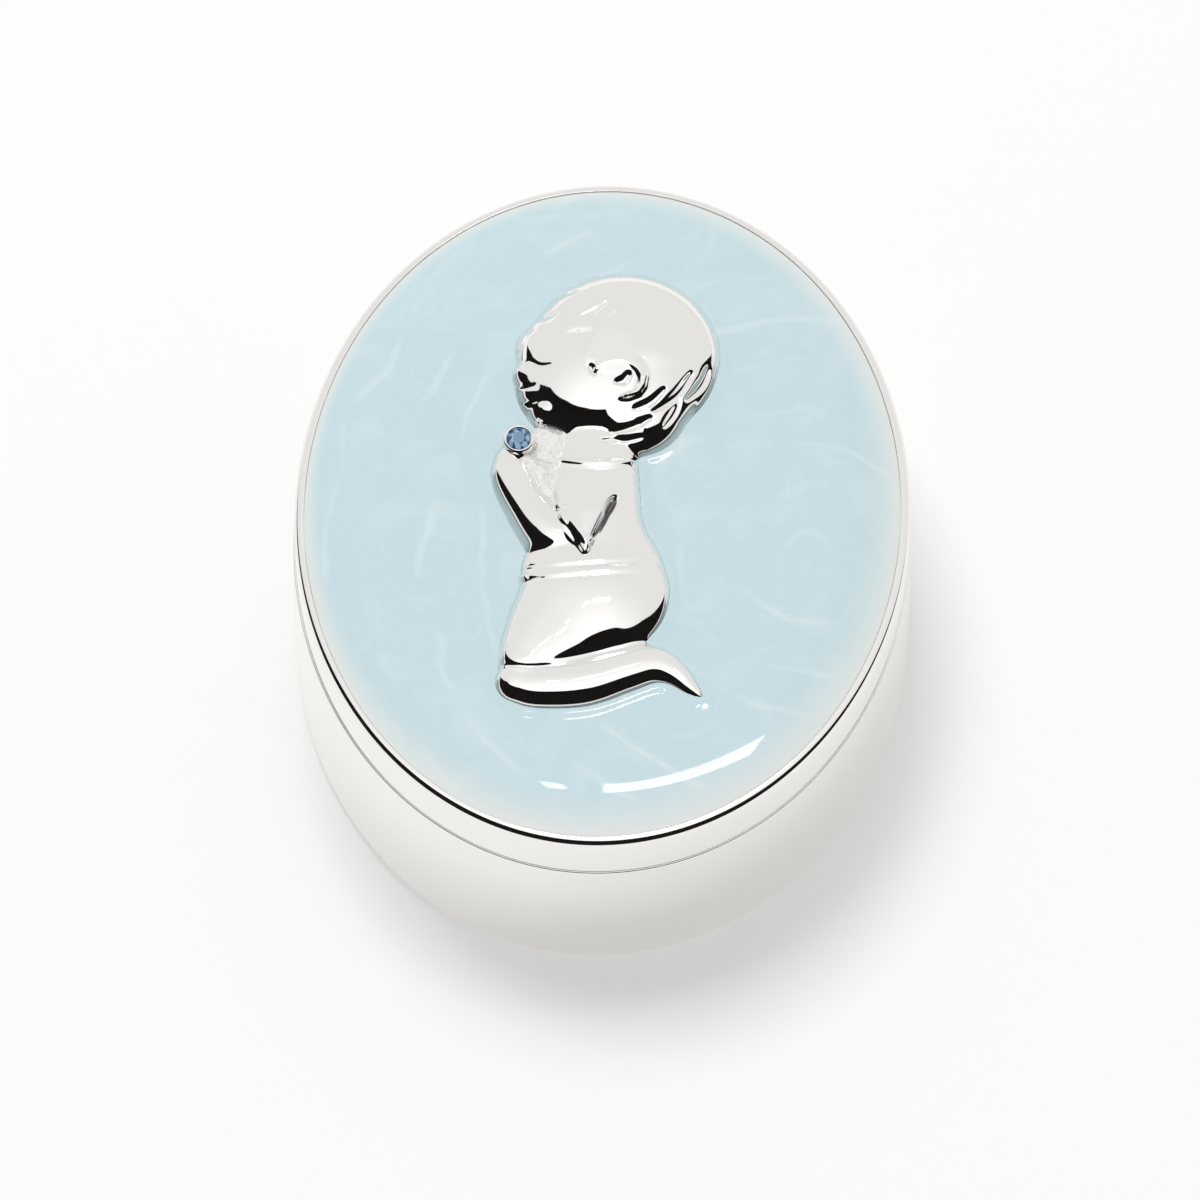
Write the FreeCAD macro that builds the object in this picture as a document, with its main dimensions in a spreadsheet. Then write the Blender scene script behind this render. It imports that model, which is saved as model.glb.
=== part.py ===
import FreeCAD
import Part
import Sketcher
import math
import os

# An oval silver-plated keepsake box. A deep body stands on a felt pad, and a collar soldered in its mouth
# guides the lift-off lid. The lid's top is a tray of domed enamel round a cast relief of a child kneeling
# in prayer, whose hands carry one small crystal in a cup. The length runs along Y and +Z is up.

Vector = FreeCAD.Vector
Rotation = FreeCAD.Rotation

# Driving dimensions in millimetres: name, value, meaning.
SIZES = [
    ("box_length", 70.0, "outside length of the body"),
    ("box_width", 57.5, "outside width of the body"),
    ("body_height", 17.5, "foot of the body to the seam"),
    ("body_wall", 1.8, "wall of the body"),
    ("body_floor", 1.6, "floor of the body"),
    ("foot_radius", 1.2, "rounding of the body's foot"),
    ("floor_radius", 0.5, "rounding inside the body, where wall meets floor"),
    ("seam_radius", 0.15, "softened edges on both sides of the seam"),
    ("lid_height", 5.5, "seam to the crest of the rim"),
    ("lid_setback", 0.15, "how far the lid's side stands back from the body's side"),
    ("rim_width", 0.9, "rim between the lid's side and the enamel"),
    ("rim_outer_radius", 0.5, "outer rounding of the rim"),
    ("rim_inner_radius", 0.3, "inner rounding of the rim"),
    ("tray_depth", 1.5, "crest of the rim to the floor of the enamel tray"),
    ("plate_thickness", 1.2, "plate under the enamel"),
    ("collar_thickness", 0.6, "strip that the collar is bent from"),
    ("collar_depth", 4.0, "reach of the collar below the seam"),
    ("collar_head_gap", 0.5, "top of the collar to the lid's plate"),
    ("collar_clearance", 0.2, "collar to the inside of the lid"),
    ("collar_radius", 0.2, "lead-in on the collar's top"),
    ("solder_gap", 0.03, "film of solder between collar and body"),
    ("felt_thickness", 0.8, "base felt"),
    ("felt_proud", 0.3, "how far the felt stands below the body's foot"),
    ("felt_margin", 3.0, "edge of the felt's recess to the body's side"),
    ("felt_gap", 0.1, "felt to the edge of its recess"),
    ("felt_radius", 0.15, "softened edge of the felt"),
    ("card_thickness", 0.8, "card of the floor lining"),
    ("velvet_thickness", 1.2, "velvet of the floor lining"),
    ("lid_card_thickness", 0.6, "card of the lid lining"),
    ("lid_velvet_thickness", 0.8, "velvet of the lid lining"),
    ("lining_clearance", 0.6, "linings to the inside of the collar"),
    ("velvet_radius", 0.4, "turned edge of the velvet"),
    ("enamel_crown", 1.1, "rise of the enamel's dome above its edge"),
    ("enamel_drop", 0.1, "crest of the rim to the edge of the enamel"),
    ("enamel_gap", 0.03, "enamel to the wall of its tray"),
    ("figure_height", 46.4, "relief from the top of the head to the knee"),
    ("figure_offset", 1.6, "middle of the relief from the middle of the lid"),
    ("figure_seat", 1.4, "floor of the tray to the widest line of the relief"),
    ("crystal_diameter", 2.1, "girdle of the crystal"),
    ("cup_wall", 0.38, "wall of the crystal's cup"),
    ("cup_floor", 0.35, "floor of the cup below the crystal's point"),
    ("cup_lip", 0.12, "lip of the cup above the girdle"),
    ("setting_gap", 0.03, "crystal to its cup, and cup to its seat in the hands"),
]

# The relief's forms, all as shares of figure_height, from the middle of the relief at its widest line.
# Each swelling form runs through sections: x, y, half width, rise, height, and the turn of its width in degrees.
SWELLING_SHARES = {
    "shirt": [
        (-0.013, 0.073, 0.082, 0, 0.064, 0),
        (-0.013, 0.013, 0.093, 0, 0.080, 0),
        (-0.013, -0.078, 0.099, 0, 0.082, 0),
        (-0.011, -0.170, 0.124, 0, 0.080, 0),
    ],
    "neckband": [(-0.013, 0.080, 0.085, 0, 0.070, 0), (-0.013, 0.062, 0.091, 0, 0.077, 0)],
    "upper_belt": [(-0.011, -0.156, 0.126, 0, 0.086, 0), (-0.011, -0.169, 0.129, 0, 0.087, 0)],
    "lower_belt": [(-0.011, -0.177, 0.134, 0, 0.087, 0), (-0.010, -0.190, 0.140, 0, 0.090, 0)],
    "breeches": [
        (-0.009, -0.172, 0.127, 0, 0.079, 0),
        (-0.008, -0.224, 0.152, 0, 0.088, 1),
        (-0.009, -0.276, 0.158, 0, 0.090, 3),
        (-0.028, -0.330, 0.155, 0, 0.074, 8),
        (-0.054, -0.373, 0.149, 0, 0.036, 10),
    ],
    "neck": [(-0.019, 0.138, 0.071, 0, 0.065, 0), (-0.013, 0.065, 0.075, 0, 0.060, 0)],
    "leg": [
        (-0.188, -0.431, 0.028, 0, 0.025, 90),
        (-0.162, -0.438, 0.048, 0, 0.045, 90),
        (-0.099, -0.444, 0.056, 0, 0.053, 91),
        (0.006, -0.427, 0.058, 0, 0.055, 100),
        (0.108, -0.386, 0.047, 0, 0.045, 98),
        (0.149, -0.390, 0.042, 0, 0.040, 62),
        (0.194, -0.427, 0.027, 0, 0.026, 47),
        (0.227, -0.463, 0.015, 0, 0.014, 45),
    ],
    "sleeve": [
        (0.024, 0.015, 0.041, 0.040, 0.038, -35),
        (-0.019, -0.047, 0.051, 0.042, 0.046, -35),
        (-0.062, -0.110, 0.054, 0.042, 0.048, -35),
    ],
    "cuff": [(-0.056, -0.100, 0.057, 0.042, 0.053, -35), (-0.070, -0.121, 0.060, 0.042, 0.054, -35)],
    "forearm": [
        (-0.088, -0.142, 0.034, 0.008, 0.030, 212),
        (-0.103, -0.123, 0.046, 0.010, 0.042, 212),
        (-0.134, -0.073, 0.043, 0.012, 0.041, 212),
        (-0.162, -0.026, 0.036, 0.012, 0.034, 210),
        (-0.183, 0.022, 0.040, 0.012, 0.038, 203),
        (-0.194, 0.065, 0.034, 0.009, 0.032, 191),
        (-0.194, 0.091, 0.019, 0.006, 0.018, 180),
    ],
}
# The trunk's sections lean, so that the belt drops over the round of the body; degrees from upright.
LEANING_FORMS = ("shirt", "neckband", "upper_belt", "lower_belt", "breeches", "neck")
SECTION_LEAN = 28
SHOULDER_SHARE = 0.6  # rounding between a form's side and its crown, of the form's height

# Round domes of the head and the face: x, y, rise, radius, height.
DOME_SHARES = {
    "hair_dome": (0.026, 0.304, 0, 0.197, 0.111),
    "face_dome": (-0.029, 0.278, 0, 0.163, 0.101),
    "nose": (-0.175, 0.233, 0.008, 0.026, 0.025),
    "mouth": (-0.149, 0.192, 0.008, 0.028, 0.027),
    "chin": (-0.116, 0.162, 0.008, 0.038, 0.036),
}
# The ear's rolled edge: x, y, rise, ring radius, roll radius.
EAR_SHARES = (0.019, 0.226, 0.094, 0.028, 0.0108)
# Edge of the hair round the face, from the fringe past the ear to the nape, then out round the face.
HAIRLINE_SHARES = [
    (-0.186, 0.366),
    (-0.037, 0.320),
    (-0.032, 0.246),
    (0.009, 0.194),
    (0.073, 0.095),
    (0.073, 0.050),
    (-0.260, 0.050),
    (-0.260, 0.366),
]

# The crystal's place on the relief, and its cut as shares of crystal_diameter.
CRYSTAL_PLACE_SHARES = (-0.1737, 0.0927, 0.028)
TABLE_SHARE = 0.30
GIRDLE_SHARE = 0.06
CROWN_SHARE = 0.16
PAVILION_SHARE = 0.40
CULET_SHARE = 0.03
CRYSTAL_SIDES = 16

# Insets from the body's outline, and heights, as expressions on the sheet.
CAVITY = "Sizes.body_wall"
COLLAR_OUTSIDE = f"{CAVITY} + Sizes.solder_gap"
COLLAR_INSIDE = f"{COLLAR_OUTSIDE} + Sizes.collar_thickness"
LINING_EDGE = f"{COLLAR_INSIDE} + Sizes.lining_clearance"
LID_SIDE = "Sizes.lid_setback"
LID_INSIDE = f"{COLLAR_OUTSIDE} - Sizes.collar_clearance"
TRAY_WALL = f"{LID_SIDE} + Sizes.rim_width"
ENAMEL_EDGE = f"{TRAY_WALL} + Sizes.enamel_gap"
FELT_EDGE = "Sizes.felt_margin + Sizes.felt_gap"
FOOT = "Sizes.felt_proud"
BOX_FLOOR = f"{FOOT} + Sizes.body_floor"
CARD_TOP = f"{BOX_FLOOR} + Sizes.card_thickness"
SEAM = f"{FOOT} + Sizes.body_height"
CREST = f"{SEAM} + Sizes.lid_height"
TRAY_FLOOR = f"{CREST} - Sizes.tray_depth"
PLATE_UNDER = f"{TRAY_FLOOR} - Sizes.plate_thickness"
LID_CARD_UNDER = f"{PLATE_UNDER} - Sizes.lid_card_thickness"
COLLAR_BOTTOM = f"{SEAM} - Sizes.collar_depth"
COLLAR_TOP = f"{PLATE_UNDER} - Sizes.collar_head_gap"
ENAMEL_RIM = f"{CREST} - Sizes.enamel_drop"
RELIEF_LINE = f"{TRAY_FLOOR} + Sizes.figure_seat"
CUP_RADIUS = "Sizes.crystal_diameter / 2 + Sizes.setting_gap + Sizes.cup_wall"

DOC = FreeCAD.newDocument("KeepsakeBox")
SHEET = DOC.addObject("Spreadsheet::Sheet", "Sizes")


def fill_sheet():
    """Write each driving dimension as a plain number with its name as alias."""
    for row, (name, size, meaning) in enumerate(SIZES, 1):
        SHEET.set(f"A{row}", name)
        SHEET.set(f"B{row}", str(size))
        SHEET.set(f"C{row}", meaning)
        SHEET.setAlias(f"B{row}", name)
    DOC.recompute()


def size_of(expression):
    """Present value of an expression on the sheet."""
    return float(SHEET.evalExpression(expression))


def half_axes(inset):
    """Half width and half length, as expressions, of the oval that lies an inset inside the body's side."""
    return f"Sizes.box_width / 2 - ({inset})", f"Sizes.box_length / 2 - ({inset})"


def new_body(name):
    """An empty body whose label names its piece."""
    body = DOC.addObject("PartDesign::Body", name)
    body.Label = name
    return body


def new_sketch(body, name, plane="XY_Plane"):
    """A sketch on one of the body's own origin planes."""
    sketch = body.newObject("Sketcher::SketchObject", name)
    support = [feature for feature in body.Origin.OriginFeatures if feature.Role == plane]
    sketch.AttachmentSupport = [(support[0], "")]
    sketch.MapMode = "FlatFace"
    return sketch


def bind_constraint(sketch, constraint, name, expression):
    """Add a sized constraint and tie it to an expression on the sheet."""
    index = sketch.addConstraint(constraint)
    sketch.renameConstraint(index, name)
    sketch.setExpression(f"Constraints.{name}", expression)


def draw_oval(sketch, inset, name):
    """Draw an oval centred on the sketch's origin, with both axes tied to the sheet."""
    across, along = half_axes(inset)
    half_x, half_y = size_of(across), size_of(along)
    lengthwise = half_y >= half_x
    tips = [Vector(0, half_y, 0), Vector(half_x, 0, 0)]
    long_tip, short_tip = tips if lengthwise else tips[::-1]
    oval = sketch.addGeometry(Part.Ellipse(long_tip, short_tip, Vector(0, 0, 0)))
    sketch.exposeInternalGeometry(oval)
    long_axis, short_axis = oval + 1, oval + 2
    sketch.addConstraint(Sketcher.Constraint("Coincident", oval, 3, -1, 1))
    sketch.addConstraint(Sketcher.Constraint("Vertical" if lengthwise else "Horizontal", long_axis))
    long_half, short_half = (along, across) if lengthwise else (across, along)
    long_length = Sketcher.Constraint("Distance", long_axis, 2 * long_tip.Length)
    bind_constraint(sketch, long_length, f"{name}_long", f"2 * ({long_half})")
    short_length = Sketcher.Constraint("Distance", short_axis, 2 * short_tip.Length)
    bind_constraint(sketch, short_length, f"{name}_short", f"2 * ({short_half})")


def oval_sketch(body, name, height, *insets):
    """A level sketch of one oval, or of two for a ring."""
    sketch = new_sketch(body, name)
    sketch.setExpression("AttachmentOffset.Base.z", height)
    for number, inset in enumerate(insets):
        draw_oval(sketch, inset, f"oval{number}")
    return sketch


def pad_oval(body, name, bottom, top, *insets):
    """Pad an oval, or a ring between two ovals, from one height to another."""
    sketch = oval_sketch(body, f"{name}_outline", bottom, *insets)
    pad = body.newObject("PartDesign::Pad", name)
    pad.Profile = sketch
    pad.setExpression("Length", f"({top}) - ({bottom})")
    DOC.recompute()
    return pad


def pocket_oval(body, name, mouth, end, inset, upwards=False):
    """Cut an oval from its mouth to its end, and see that it took material away."""
    volume = body.Shape.Volume
    sketch = oval_sketch(body, f"{name}_outline", mouth, inset)
    pocket = body.newObject("PartDesign::Pocket", name)
    pocket.Profile = sketch
    pocket.Reversed = upwards
    pocket.setExpression("Length", f"({end}) - ({mouth})" if upwards else f"({mouth}) - ({end})")
    DOC.recompute()
    if body.Shape.Volume >= volume:
        raise RuntimeError(f"{name} cut nothing")
    return pocket


def round_oval(body, name, height, inset, radius):
    """Round the oval edge that lies at a height and an inset."""
    base = body.Tip
    level = size_of(height)
    half_x, half_y = (size_of(half) for half in half_axes(inset))
    near = min(half_x, half_y) * 1e-4
    edges = []
    for number, edge in enumerate(base.Shape.Edges, 1):
        curve = edge.Curve
        if not isinstance(curve, Part.Ellipse) or abs(curve.Center.z - level) > near:
            continue
        if abs(curve.MajorRadius - max(half_x, half_y)) < near:
            edges.append(f"Edge{number}")
    if not edges:
        raise RuntimeError(f"{name} found no edge")
    fillet = body.newObject("PartDesign::Fillet", name)
    fillet.Base = (base, edges)
    fillet.setExpression("Radius", radius)
    DOC.recompute()


def body_shell():
    """The deep oval body, open at the seam, with a recess for the felt in its foot."""
    body = new_body("body_shell")
    pad_oval(body, "body_block", FOOT, SEAM, "0")
    pocket_oval(body, "body_cavity", SEAM, BOX_FLOOR, CAVITY)
    recess = f"{FOOT} + Sizes.felt_thickness - Sizes.felt_proud"
    pocket_oval(body, "felt_recess", FOOT, recess, "Sizes.felt_margin", upwards=True)
    round_oval(body, "foot_round", FOOT, "0", "Sizes.foot_radius")
    round_oval(body, "floor_round", BOX_FLOOR, CAVITY, "Sizes.floor_radius")
    round_oval(body, "seam_round", SEAM, "0", "Sizes.seam_radius")
    return body


def locating_collar():
    """A strip bent to the oval and soldered in the body's mouth; the lid drops over it."""
    body = new_body("locating_collar")
    pad_oval(body, "collar_strip", COLLAR_BOTTOM, COLLAR_TOP, COLLAR_OUTSIDE, COLLAR_INSIDE)
    round_oval(body, "collar_lead_in", COLLAR_TOP, COLLAR_OUTSIDE, "Sizes.collar_radius")
    return body


def base_felt():
    """The felt that the box stands on, set in the body's foot."""
    body = new_body("base_felt")
    pad_oval(body, "felt_sheet", "0", "Sizes.felt_thickness", FELT_EDGE)
    round_oval(body, "felt_edge", "0", FELT_EDGE, "Sizes.felt_radius")
    return body


def floor_card():
    """The card that stiffens the floor lining."""
    body = new_body("floor_card")
    pad_oval(body, "floor_card_sheet", BOX_FLOOR, CARD_TOP, LINING_EDGE)
    return body


def floor_velvet():
    """The velvet pad on the floor card."""
    body = new_body("floor_velvet")
    top = f"{CARD_TOP} + Sizes.velvet_thickness"
    pad_oval(body, "floor_velvet_pad", CARD_TOP, top, LINING_EDGE)
    round_oval(body, "floor_velvet_turn", top, LINING_EDGE, "Sizes.velvet_radius")
    return body


def lid_shell():
    """The lid: a side band, a plate, and the rim that stands round the enamel."""
    body = new_body("lid_shell")
    pad_oval(body, "lid_block", SEAM, CREST, LID_SIDE)
    pocket_oval(body, "lid_hollow", SEAM, PLATE_UNDER, LID_INSIDE, upwards=True)
    pocket_oval(body, "enamel_tray", CREST, TRAY_FLOOR, TRAY_WALL)
    round_oval(body, "rim_outside", CREST, LID_SIDE, "Sizes.rim_outer_radius")
    round_oval(body, "rim_inside", CREST, TRAY_WALL, "Sizes.rim_inner_radius")
    round_oval(body, "lid_seam_round", SEAM, LID_SIDE, "Sizes.seam_radius")
    return body


def lid_card():
    """The card glued under the lid's plate."""
    body = new_body("lid_card")
    pad_oval(body, "lid_card_sheet", LID_CARD_UNDER, PLATE_UNDER, LINING_EDGE)
    return body


def lid_velvet():
    """The velvet under the lid card, above the box's cavity."""
    body = new_body("lid_velvet")
    under = f"{LID_CARD_UNDER} - Sizes.lid_velvet_thickness"
    pad_oval(body, "lid_velvet_pad", under, LID_CARD_UNDER, LINING_EDGE)
    round_oval(body, "lid_velvet_turn", under, LINING_EDGE, "Sizes.velvet_radius")
    return body


def of_figure(share):
    """A length on the relief, as an expression."""
    return f"Sizes.figure_height * {share}"


def put_on_relief(item, x_share, y_share, rise_share, rotation=None):
    """Turn an object, and tie its place on the relief to the sheet."""
    item.Placement = FreeCAD.Placement(Vector(0, 0, 0), rotation or Rotation())
    item.setExpression("Placement.Base.x", of_figure(x_share))
    item.setExpression("Placement.Base.y", f"Sizes.figure_offset + {of_figure(y_share)}")
    item.setExpression("Placement.Base.z", f"{RELIEF_LINE} + {of_figure(rise_share)}")


def pillow_points(half_width, height):
    """Right half of a pillow section in its own plane: side, shoulder, where shoulder meets crown, and top."""
    shoulder = height * SHOULDER_SHARE
    reach, lift = half_width - shoulder, height - shoulder
    sunk = (reach**2 - lift**2) / (2 * lift)
    angle = math.atan2(sunk, reach)
    crown = height + sunk
    side = Vector(half_width, 0, 0)
    bend = Vector(reach + shoulder * math.cos(angle / 2), shoulder * math.sin(angle / 2), 0)
    meet = Vector(crown * math.cos(angle), crown * math.sin(angle) - sunk, 0)
    return side, bend, meet, Vector(0, height, 0)


def mirrored(point):
    """The same point on the left half of a section."""
    return Vector(-point.x, point.y, 0)


def pillow_section(half_width, height, depth):
    """A closed section: a flat base, upright sides, and a crown between two rounded shoulders."""
    side, bend, meet, top = pillow_points(half_width, height)
    foot = Vector(half_width, -depth, 0)
    edges = [
        Part.LineSegment(foot, side),
        Part.Arc(side, bend, meet),
        Part.Arc(meet, top, mirrored(meet)),
        Part.Arc(mirrored(meet), mirrored(bend), mirrored(side)),
        Part.LineSegment(mirrored(side), mirrored(foot)),
        Part.LineSegment(mirrored(foot), foot),
    ]
    return Part.Wire([edge.toShape() for edge in edges])


def swelling_form(name):
    """A form of the relief lofted through its sections."""
    unit = size_of("Sizes.figure_height")
    lean = SECTION_LEAN if name in LEANING_FORMS else 0
    seat = size_of("Sizes.figure_seat") / math.cos(math.radians(lean))
    sections = []
    for number, (x_share, y_share, across, rise, up, turn) in enumerate(SWELLING_SHARES[name]):
        section = DOC.addObject("Part::Feature", f"{name}_section{number}")
        section.Shape = pillow_section(across * unit, up * unit, rise * unit + 2 * seat)
        upright = Rotation(Vector(1, 0, 0), 90 + lean)
        put_on_relief(section, x_share, y_share, rise, Rotation(Vector(0, 0, 1), turn).multiply(upright))
        sections.append(section)
    form = DOC.addObject("Part::Loft", name)
    form.Sections = sections
    form.Solid = True
    return form


def dome_form(name):
    """A round dome of the head or the face, revolved from half a pillow section."""
    unit = size_of("Sizes.figure_height")
    x_share, y_share, rise, radius, up = DOME_SHARES[name]
    side, bend, meet, top = pillow_points(radius * unit, up * unit)
    foot = Vector(side.x, -rise * unit - 2 * size_of("Sizes.figure_seat"), 0)
    core = Vector(0, foot.y, 0)
    crown = Part.Arc(meet, top, mirrored(meet))
    crown_bend = crown.value((crown.parameter(meet) + crown.parameter(top)) / 2)
    edges = [
        Part.LineSegment(core, foot),
        Part.LineSegment(foot, side),
        Part.Arc(side, bend, meet),
        Part.Arc(meet, crown_bend, top),
        Part.LineSegment(top, core),
    ]
    profile = Part.Face(Part.Wire([edge.toShape() for edge in edges]))
    dome = DOC.addObject("Part::Feature", name)
    dome.Shape = profile.revolve(Vector(0, 0, 0), Vector(0, 1, 0), 360)
    put_on_relief(dome, x_share, y_share, rise, Rotation(Vector(1, 0, 0), 90))
    return dome


def hair_form():
    """The cap of hair: a dome over the face's dome, cut away in front of the hairline."""
    window = DOC.addObject("Part::Feature", "face_window")
    unit = size_of("Sizes.figure_height")
    corners = [Vector(x_share, y_share, 0) * unit for x_share, y_share in HAIRLINE_SHARES]
    outline = Part.makePolygon(corners + corners[:1])
    window.Shape = Part.Face(outline).extrude(Vector(0, 0, unit))
    put_on_relief(window, 0, 0, 0)
    hair = DOC.addObject("Part::Cut", "hair")
    hair.Base = dome_form("hair_dome")
    hair.Tool = window
    return hair


def ear_form():
    """The ear's rolled edge, lying on the side of the head."""
    x_share, y_share, rise_share, ring, roll = EAR_SHARES
    ear = DOC.addObject("Part::Torus", "ear")
    ear.setExpression("Radius1", of_figure(ring))
    ear.setExpression("Radius2", of_figure(roll))
    put_on_relief(ear, x_share, y_share, rise_share)
    return ear


def cup_seat():
    """The round seat that the crystal's cup is let into."""
    seat = DOC.addObject("Part::Cylinder", "cup_seat")
    seat.setExpression("Radius", f"{CUP_RADIUS} + Sizes.setting_gap")
    seat.setExpression("Height", "Sizes.figure_height")
    put_on_relief(seat, *CRYSTAL_PLACE_SHARES)
    return seat


def relief_forms():
    """Every form of the relief that goes down to the floor of the tray."""
    forms = [swelling_form(name) for name in SWELLING_SHARES]
    forms += [hair_form()]
    forms += [dome_form(name) for name in ("face_dome", "nose", "mouth", "chin")]
    return forms


def praying_figure(forms):
    """The cast relief: its forms run together, cut flat where it stands on the floor of the tray."""
    cast = DOC.addObject("Part::MultiFuse", "cast_forms")
    cast.Shapes = forms + [ear_form()]
    cast.Refine = False
    over = DOC.addObject("Part::Box", "over_tray_floor")
    for side in ("Length", "Width", "Height"):
        over.setExpression(side, "2 * Sizes.figure_height")
    put_on_relief(over, -1, -1, 0)
    over.setExpression("Placement.Base.z", TRAY_FLOOR)
    flat_backed = DOC.addObject("Part::Common", "flat_backed_relief")
    flat_backed.Base = cast
    flat_backed.Tool = over
    flat_backed.Refine = False
    figure = DOC.addObject("Part::Cut", "praying_figure")
    figure.Label = "praying_figure"
    figure.Base = flat_backed
    figure.Tool = cup_seat()
    figure.Refine = False
    return figure


def domed_block():
    """A block under an oval paraboloid, which falls from the enamel's crown to one level along the tray's edge."""
    half_x, half_y = (size_of(half) for half in half_axes(ENAMEL_EDGE))
    crown, rim = size_of("Sizes.enamel_crown"), size_of(ENAMEL_RIM)
    reach = 2 * half_y
    surface = Part.BezierSurface()
    surface.increase(2, 2)
    for row, across in enumerate((-1, 0, 1), 1):
        for column, along in enumerate((-1, 0, 1), 1):
            fall_x = (2 * abs(across) - 1) * (reach / half_x) ** 2
            fall_y = (2 * abs(along) - 1) * (reach / half_y) ** 2
            height = rim + crown * (1 - fall_x - fall_y)
            surface.setPole(row, column, Vector(across * reach, along * reach, height))
    dome = DOC.addObject("Part::Feature", "enamel_dome")
    dome.Shape = surface.toShape().extrude(Vector(0, 0, -reach))
    return dome


def enamel_fill(forms):
    """The domed enamel that fills the tray, poured round each form of the relief."""
    block = new_body("enamel_block")
    pad_oval(block, "enamel_pour", TRAY_FLOOR, f"{ENAMEL_RIM} + 2 * Sizes.enamel_crown", ENAMEL_EDGE)
    pour = DOC.addObject("Part::Common", "enamel_surface")
    pour.Base = block
    pour.Tool = domed_block()
    for form in forms:
        enamel = DOC.addObject("Part::Cut", f"enamel_round_{form.Name}")
        enamel.Base = pour
        enamel.Tool = form
        pour = enamel
    pour.Label = "enamel_fill"
    return pour


def crystal_and_cup():
    """The faceted crystal, and the cup that is turned to its cone and closes over its girdle."""
    x_share, y_share, rise_share = CRYSTAL_PLACE_SHARES
    diameter = "Sizes.crystal_diameter"
    culet = f"{RELIEF_LINE} + {of_figure(rise_share)} + Sizes.cup_floor"
    girdle = f"{culet} + {diameter} * {PAVILION_SHARE}"
    crown = f"{girdle} + {diameter} * {GIRDLE_SHARE}"
    table = f"{crown} + {diameter} * {CROWN_SHARE}"
    levels = [(culet, CULET_SHARE), (girdle, 0.5), (crown, 0.5), (table, TABLE_SHARE)]
    outlines = []
    for number, (height, radius_share) in enumerate(levels):
        outline = DOC.addObject("Part::RegularPolygon", f"crystal_outline{number}")
        outline.Polygon = CRYSTAL_SIDES
        outline.setExpression("Circumradius", f"{diameter} * {radius_share}")
        put_on_relief(outline, x_share, y_share, rise_share)
        outline.setExpression("Placement.Base.z", height)
        outlines.append(outline)
    crystal = DOC.addObject("Part::Loft", "crystal")
    crystal.Label = "crystal"
    crystal.Sections = outlines
    crystal.Ruled = True
    crystal.Solid = True

    outside = DOC.addObject("Part::Cylinder", "cup_outside")
    outside.setExpression("Radius", CUP_RADIUS)
    outside.setExpression("Height", f"({crown}) + Sizes.cup_lip - ({RELIEF_LINE} + {of_figure(rise_share)})")
    put_on_relief(outside, x_share, y_share, rise_share)
    outside.setExpression("Placement.Base.z", f"{RELIEF_LINE} + {of_figure(rise_share)} + Sizes.setting_gap")
    seat = DOC.addObject("Part::Cone", "cup_cone")
    seat.setExpression("Radius1", f"{diameter} * {CULET_SHARE} + Sizes.setting_gap")
    seat.setExpression("Radius2", f"{diameter} / 2 + Sizes.setting_gap")
    seat.setExpression("Height", f"{diameter} * {PAVILION_SHARE}")
    put_on_relief(seat, x_share, y_share, rise_share)
    seat.setExpression("Placement.Base.z", f"{culet} - Sizes.setting_gap")
    mouth = DOC.addObject("Part::Cylinder", "cup_mouth")
    mouth.setExpression("Radius", f"{diameter} / 2 + Sizes.setting_gap")
    mouth.setExpression("Height", diameter)
    put_on_relief(mouth, x_share, y_share, rise_share)
    mouth.setExpression("Placement.Base.z", f"{girdle} - Sizes.setting_gap")
    hollow = DOC.addObject("Part::Fuse", "cup_hollow")
    hollow.Base = seat
    hollow.Tool = mouth
    cup = DOC.addObject("Part::Cut", "crystal_cup")
    cup.Label = "crystal_cup"
    cup.Base = outside
    cup.Tool = hollow
    return [crystal, cup]


def check_and_write(pieces):
    """Stop on any failed object or bad shape, and only then write one file for each piece."""
    DOC.recompute()
    for item in DOC.Objects:
        if "Invalid" in item.State or "Error" in item.State:
            raise RuntimeError(f"{item.Name} failed: {item.State}")
    for piece in pieces:
        shape = piece.Shape
        if shape.isNull() or not shape.isValid() or len(shape.Solids) != 1:
            raise RuntimeError(f"{piece.Label} has a bad shape: {len(shape.Solids)} solids")
    os.makedirs("parts", exist_ok=True)
    for piece in pieces:
        piece.Shape.exportStep(f"parts/{piece.Label}.step")


def build():
    """Build the box from the felt up."""
    fill_sheet()
    pieces = [
        base_felt(),
        body_shell(),
        locating_collar(),
        floor_card(),
        floor_velvet(),
        lid_shell(),
        lid_card(),
        lid_velvet(),
    ]
    forms = relief_forms()
    pieces += [praying_figure(forms), enamel_fill(forms)]
    pieces += crystal_and_cup()
    check_and_write(pieces)


build()
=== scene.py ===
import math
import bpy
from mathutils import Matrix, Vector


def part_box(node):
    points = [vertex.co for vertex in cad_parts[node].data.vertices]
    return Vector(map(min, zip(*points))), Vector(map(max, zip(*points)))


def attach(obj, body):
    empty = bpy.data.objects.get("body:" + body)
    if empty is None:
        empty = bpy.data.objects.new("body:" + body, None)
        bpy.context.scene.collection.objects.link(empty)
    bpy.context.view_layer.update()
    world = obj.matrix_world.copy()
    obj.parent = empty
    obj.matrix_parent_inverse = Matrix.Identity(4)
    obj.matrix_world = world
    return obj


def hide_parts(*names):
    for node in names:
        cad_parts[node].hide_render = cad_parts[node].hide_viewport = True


bl_info = {
    "name": "Oval keepsake box",
    "version": (1, 0, 0),
    "blender": (4, 5, 0),
    "location": "View3D > Sidebar > Keepsake",
    "description": "Dresses the packed box: silver plate, pearl enamel, cast relief, crystal and lining",
    "category": "Object",
}

import bmesh
import bpy
import numpy as np
from mathutils import Matrix, Vector
from mathutils.bvhtree import BVHTree

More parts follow.
